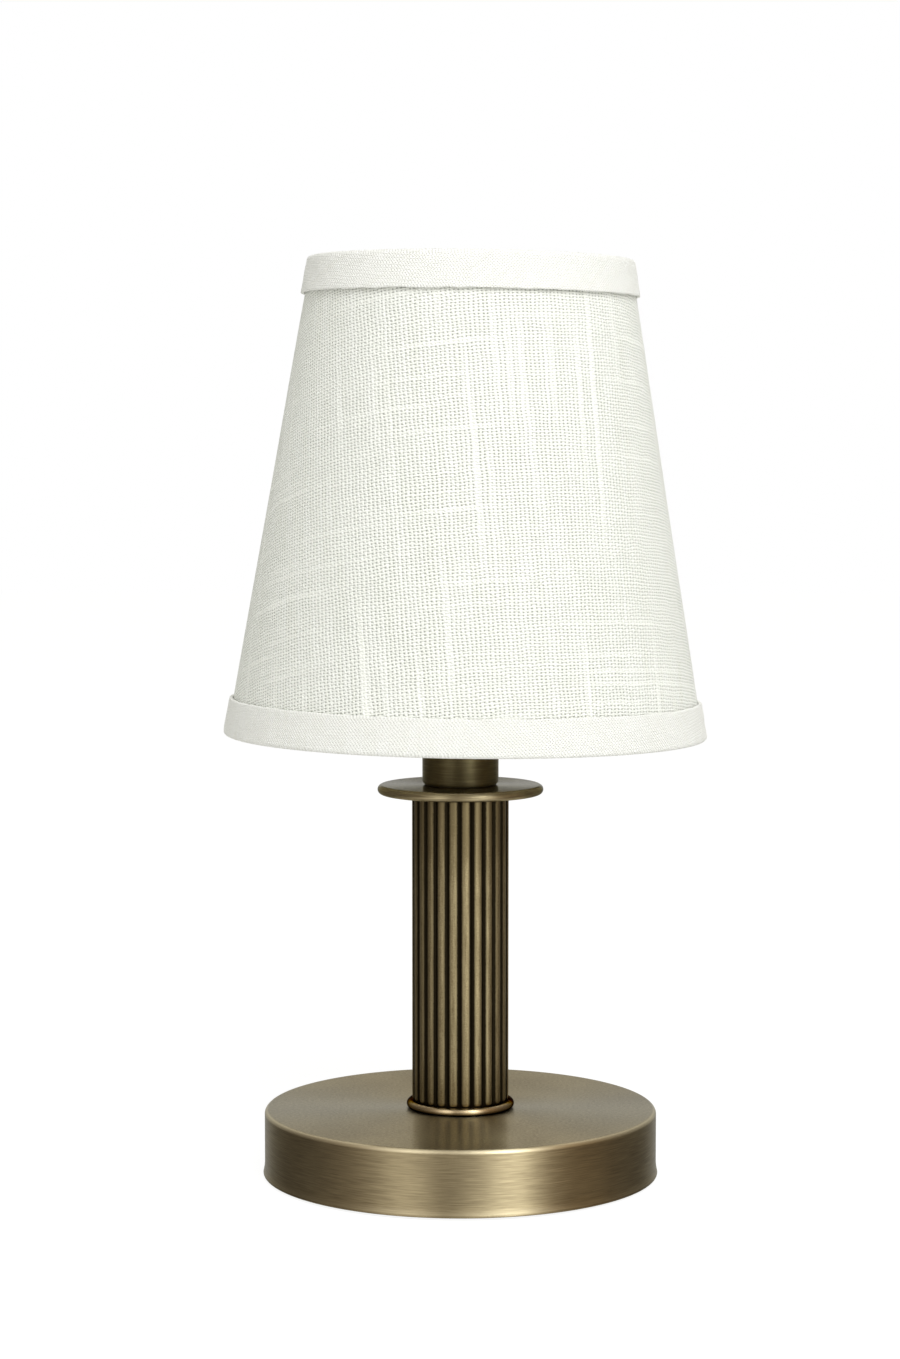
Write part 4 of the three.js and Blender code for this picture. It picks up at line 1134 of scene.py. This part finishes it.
def make_hem(name, edge, inward, turn_in, seed):
    """The folded tape all the way round, with a soft hand-turned edge and its ends lapped at the back."""
    outline = hem_outline(edge, inward, turn_in)
    steps = 360
    points = []
    for height, offset in outline:
        for k in range(steps):
            turn = 2 * math.pi * k / steps
            circle = Vector((math.sin(turn), math.cos(turn), seed))
            outside = eased((offset - FIT) / HEM_THICKNESS)
            puff = noise.noise(circle * 9.0 + Vector((0.0, 0.0, height * 250.0)))
            wave = noise.noise(circle * 16.0)
            back = abs(turn - math.pi) * linen_radius(height)
            lap = TAPE_LAP * (1 - eased((back - TAPE_LAP_REACH) / TAPE_LAP_EASE))
            radius = linen_radius(height) + offset + outside * (TAPE_PUFF * puff + lap)
            far = eased(abs(height - edge) / HEM_HEIGHT * 1.6 - 0.6)
            points.append(SHADE_PLACE @ polar(radius, turn - math.pi / 2, height + far * TAPE_WAVE * wave))
    flats = []
    length = 0.0
    for i, point in enumerate(outline):
        start = length
        length += (outline[(i + 1) % len(outline)] - point).length
        step = 2 * math.pi * linen_radius(point.x) / steps
        for k in range(steps):
            left = k * step
            right = (k + 1) * step
            flats += [(left, start), (right, start), (right, length), (left, length)]
    return make_piece(name, points, grid_faces(len(outline), steps), "shade", "bias_tape", flats=flats)


def make_shade():
    linen = rolled_sheet("shade_linen", "linen", 0.0, LINEN_THICKNESS, SEAM_LAP, 320, 72)
    rolled_sheet("shade_liner", "styrene", LINER_OFFSET, LINER_THICKNESS, 0.0, 256, 24)
    top = make_hem("shade_hem_top", SHADE_HEIGHT, -1, LINEN_BOTTOM + 2 * RING_WIRE_RADIUS, 3.1)
    bottom = make_hem("shade_hem_bottom", 0.0, 1, HEM_TURN_IN, 7.7)


def ring_path(radius, height, steps, place):
    return [place @ polar(radius, 2 * math.pi * k / steps, height) for k in range(steps)]


def make_shade_frame():
    top_height = LINEN_TOP - RING_WIRE_RADIUS
    bottom_height = LINEN_BOTTOM + RING_WIRE_RADIUS
    for name, height in (("shade_ring_top", top_height), ("shade_ring_bottom", bottom_height)):
        path = ring_path(linen_radius(height) - WIRE_OFFSET, height, 180, SHADE_PLACE)
        tube(name, path, RING_WIRE_RADIUS, 12, "shade", "spring_wire", closed=True)
    path = ring_path(COLLET_RADIUS, COLLET_HEIGHT, 64, Matrix())
    tube("clip_collet", path, COLLET_WIRE_RADIUS, 16, "clip", "spring_wire", closed=True)
    for i in range(ARM_COUNT):
        make_arm(f"spider_arm_{i + 1}", math.radians(90 + 360 * i / ARM_COUNT), top_height)
    make_clip_loop("bulb_clip_left", math.pi)
    make_clip_loop("bulb_clip_right", 0.0)


def make_arm(name, angle, top_height):
    wire_radius = linen_radius(top_height) - WIRE_OFFSET
    arm_height = top_height - RING_WIRE_RADIUS - FIT - ARM_WIRE_RADIUS
    end = COLLET_RADIUS + COLLET_WIRE_RADIUS + FIT
    path = smooth_path([
        SHADE_PLACE @ polar(wire_radius, angle, arm_height),
        SHADE_PLACE @ polar(wire_radius - ARM_BEND / 2, angle, arm_height),
        SHADE_PLACE @ polar(wire_radius - ARM_BEND, angle, arm_height - ARM_BEND / 3),
        polar(end + ARM_BEND, angle, COLLET_HEIGHT + ARM_BEND),
        polar(end + ARM_BEND / 3, angle, COLLET_HEIGHT + ARM_BEND / 8),
        polar(end, angle, COLLET_HEIGHT),
    ], 60)
    tube(name, path, ARM_WIRE_RADIUS, 14, "shade", "spring_wire")


def make_clip_loop(name, middle):
    """A wire loop that follows the glass down from the collet, round its widest part and up again."""
    clearance = FIT + CLIP_WIRE_RADIUS + CLIP_ROOM
    girdle = CAP_TOP + GLASS_LENGTH * GLASS_GIRDLE
    top = COLLET_HEIGHT - COLLET_WIRE_RADIUS - FIT
    half = math.radians(CLIP_HALF_ANGLE)

    def at(turn, height):
        slope = (glass_radius_at(height + 1.0 * MM) - glass_radius_at(height - 1.0 * MM)) / (2.0 * MM)
        radius = max(glass_radius_at(height) + clearance * math.hypot(1.0, slope), COLLET_RADIUS)
        return polar(radius, middle + turn, height)

    legs = 8
    turns = 5
    heights = [top + (girdle + CLIP_BEND - top) * i / (legs - 1) for i in range(legs)]
    points = [at(-half, height) for height in heights]
    points += [at(-half + 2 * half * i / turns, girdle) for i in range(1, turns)]
    points += [at(half, height) for height in reversed(heights)]
    tube(name, smooth_path(points, 120), CLIP_WIRE_RADIUS, 12, "shade", "spring_wire")


# Inner pieces that keep their solids


def paint_nodes():
    zinc = ("threaded_rod", "base_washer", "base_lock_washer", "base_nut", "socket_lock_nut",
            "socket_bracket", "bracket_rivet")
    slots = {
        "cast_iron": ("base_weight",),
        "zinc_steel": zinc,
        "fibre": ("lower_centring_bushing", "upper_centring_bushing"),
        "phenolic": ("socket_body",),
        "bright_brass": ("socket_screw_shell", "socket_centre_contact", "terminal_screw_back"),
        "nickel": ("terminal_screw_front",),
        "solder": ("bulb_tip_contact",),
        "black_glass": ("bulb_insulator",),
    }
    for slot, names in slots.items():
        for name in names:
            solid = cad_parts[name]
            for place in solid.material_slots:
                place.material = materials[slot]
            if not solid.material_slots:
                solid.data.materials.append(materials[slot])


# Studio


def make_camera():
    data = bpy.data.cameras.new("camera")
    data.lens = CAMERA_LENS
    data.sensor_width = CAMERA_SENSOR
    camera = linked("camera", data)
    camera.location = (0.0, -CAMERA_DISTANCE, CAMERA_HEIGHT)
    camera.rotation_euler = (math.radians(90 - CAMERA_DOWN), 0.0, math.radians(CAMERA_YAW))
    bpy.context.scene.camera = camera


def bare_tree(owner):
    """The node tree of a material or world, with nothing in it."""
    owner.use_nodes = True
    owner.node_tree.nodes.clear()
    return owner.node_tree


def seen_share(tree):
    """1 for camera, glossy and transmission rays, 0 for the rest."""
    path = node(tree, "LightPath")
    glossy = larger(tree, path.outputs["Is Camera Ray"], path.outputs["Is Glossy Ray"])
    return larger(tree, glossy, path.outputs["Is Transmission Ray"])


def make_world():
    """Soft light for the object, and plain white where the world is seen."""
    world = bpy.data.worlds.new("studio")
    bpy.context.scene.world = world
    tree = bare_tree(world)
    soft = node(tree, "Background", {"Color": (1.0, 1.0, 0.94, 1.0), "Strength": WORLD_LIGHT})
    white = node(tree, "Background", {"Color": (1.0, 1.0, 1.0, 1.0), "Strength": 1.0})
    mix = node(tree, "MixShader", {0: seen_share(tree), 1: soft.outputs[0], 2: white.outputs[0]})
    node(tree, "OutputWorld", {"Surface": mix.outputs[0]})


def make_floor():
    """A pale floor that shows about as white as the world behind it, and keeps a faint shadow."""
    half = 4.0
    corners = [(-half, -half, 0.0), (half, -half, 0.0), (half, half, 0.0), (-half, half, 0.0)]
    mesh = new_mesh("floor", corners, [[0, 1, 2, 3]])
    floor = linked("floor", mesh)
    floor.location.z = -FLOOR_DROP
    material = bpy.data.materials.new("floor")
    tree = bare_tree(material)
    diffuse = node(tree, "BsdfDiffuse", {"Color": (0.92, 0.92, 0.91, 1.0)})
    white = node(tree, "Emission", {"Color": (1.0, 1.0, 1.0, 1.0), "Strength": FLOOR_WHITE})
    share = times(tree, seen_share(tree), FLOOR_SEEN)
    mix = node(tree, "MixShader", {0: share, 1: diffuse.outputs[0], 2: white.outputs[0]})
    node(tree, "OutputMaterial", {"Surface": mix.outputs[0]})
    mesh.materials.append(material)
    floor.visible_glossy = False


def make_key_light():
    """One large soft light above the camera, which metal doesn't mirror."""
    data = bpy.data.lights.new("key", "AREA")
    data.shape = "RECTANGLE"
    data.size, data.size_y = KEY_SIZE
    data.energy = KEY_POWER
    light = linked("key", data)
    light.visible_glossy = False
    light.location = KEY_PLACE
    aim = KEY_AIM - KEY_PLACE
    light.rotation_euler = aim.to_track_quat("-Z", "Y").to_euler()


def make_reflectors():
    """A ring of bright panels and dark flags all round the lamp, which only metal and glass mirror."""
    material = bpy.data.materials.new("reflectors")
    tree = bare_tree(material)
    place = node(tree, "SeparateXYZ", {"Vector": object_place(tree)})
    turn = calc(tree, "ARCTAN2", place.outputs["X"], times(tree, place.outputs["Y"], -1.0))
    ramp = node(tree, "ValToRGB", {"Fac": remap(tree, turn, -math.pi, math.pi)})
    levels = ramp.color_ramp.elements
    levels.remove(levels[1])
    for degrees, level, warmth in REFLECTOR_LEVELS:
        share = level / REFLECTOR_PEAK
        stop = levels.new(degrees / 360 + 0.5)
        stop.color = (share, share * (1 - 0.25 * warmth), share * (1 - 0.5 * warmth), 1.0)
    rise = remap(tree, place.outputs["Z"], 0.0, REFLECTOR_TOP,
                 REFLECTOR_LOW * REFLECTOR_PEAK, REFLECTOR_HIGH * REFLECTOR_PEAK)
    glow = node(tree, "Emission", {"Color": ramp.outputs["Color"], "Strength": rise})
    node(tree, "OutputMaterial", {"Surface": glow.outputs[0]})
    steps = 96
    points = []
    for i in range(steps + 1):
        turn = math.pi * (2 * i / steps - 1)
        for height in (REFLECTOR_BOTTOM, REFLECTOR_TOP):
            points.append(polar(REFLECTOR_RADIUS, turn - math.pi / 2, height))
    faces = [[2 * i, 2 * i + 1, 2 * i + 3, 2 * i + 2] for i in range(steps)]
    mesh = new_mesh("reflectors", points, faces)
    mesh.materials.append(material)
    ring = linked("reflectors", mesh)
    ring.visible_camera = False
    ring.visible_diffuse = False
    ring.visible_transmission = False
    ring.visible_shadow = False


make_camera()
make_world()
make_floor()
make_key_light()
make_reflectors()

make_base_shell()
make_felt()
make_cord_bushing()
make_round_edged("foot_ring", BASE_HEIGHT, RING_HEIGHT, RING_RADIUS, "ring")
make_column()
make_round_edged("collar_disk", COLUMN_TOP, COLLAR_THICKNESS, COLLAR_RADIUS, "collar")
make_cup()
make_bulb_glass()
make_bulb_cap()
make_bulb_stem()
make_filament()
make_shade()
make_shade_frame()
paint_nodes()

bpy.context.scene.view_settings.view_transform = "Standard"
bpy.context.view_layer.update()
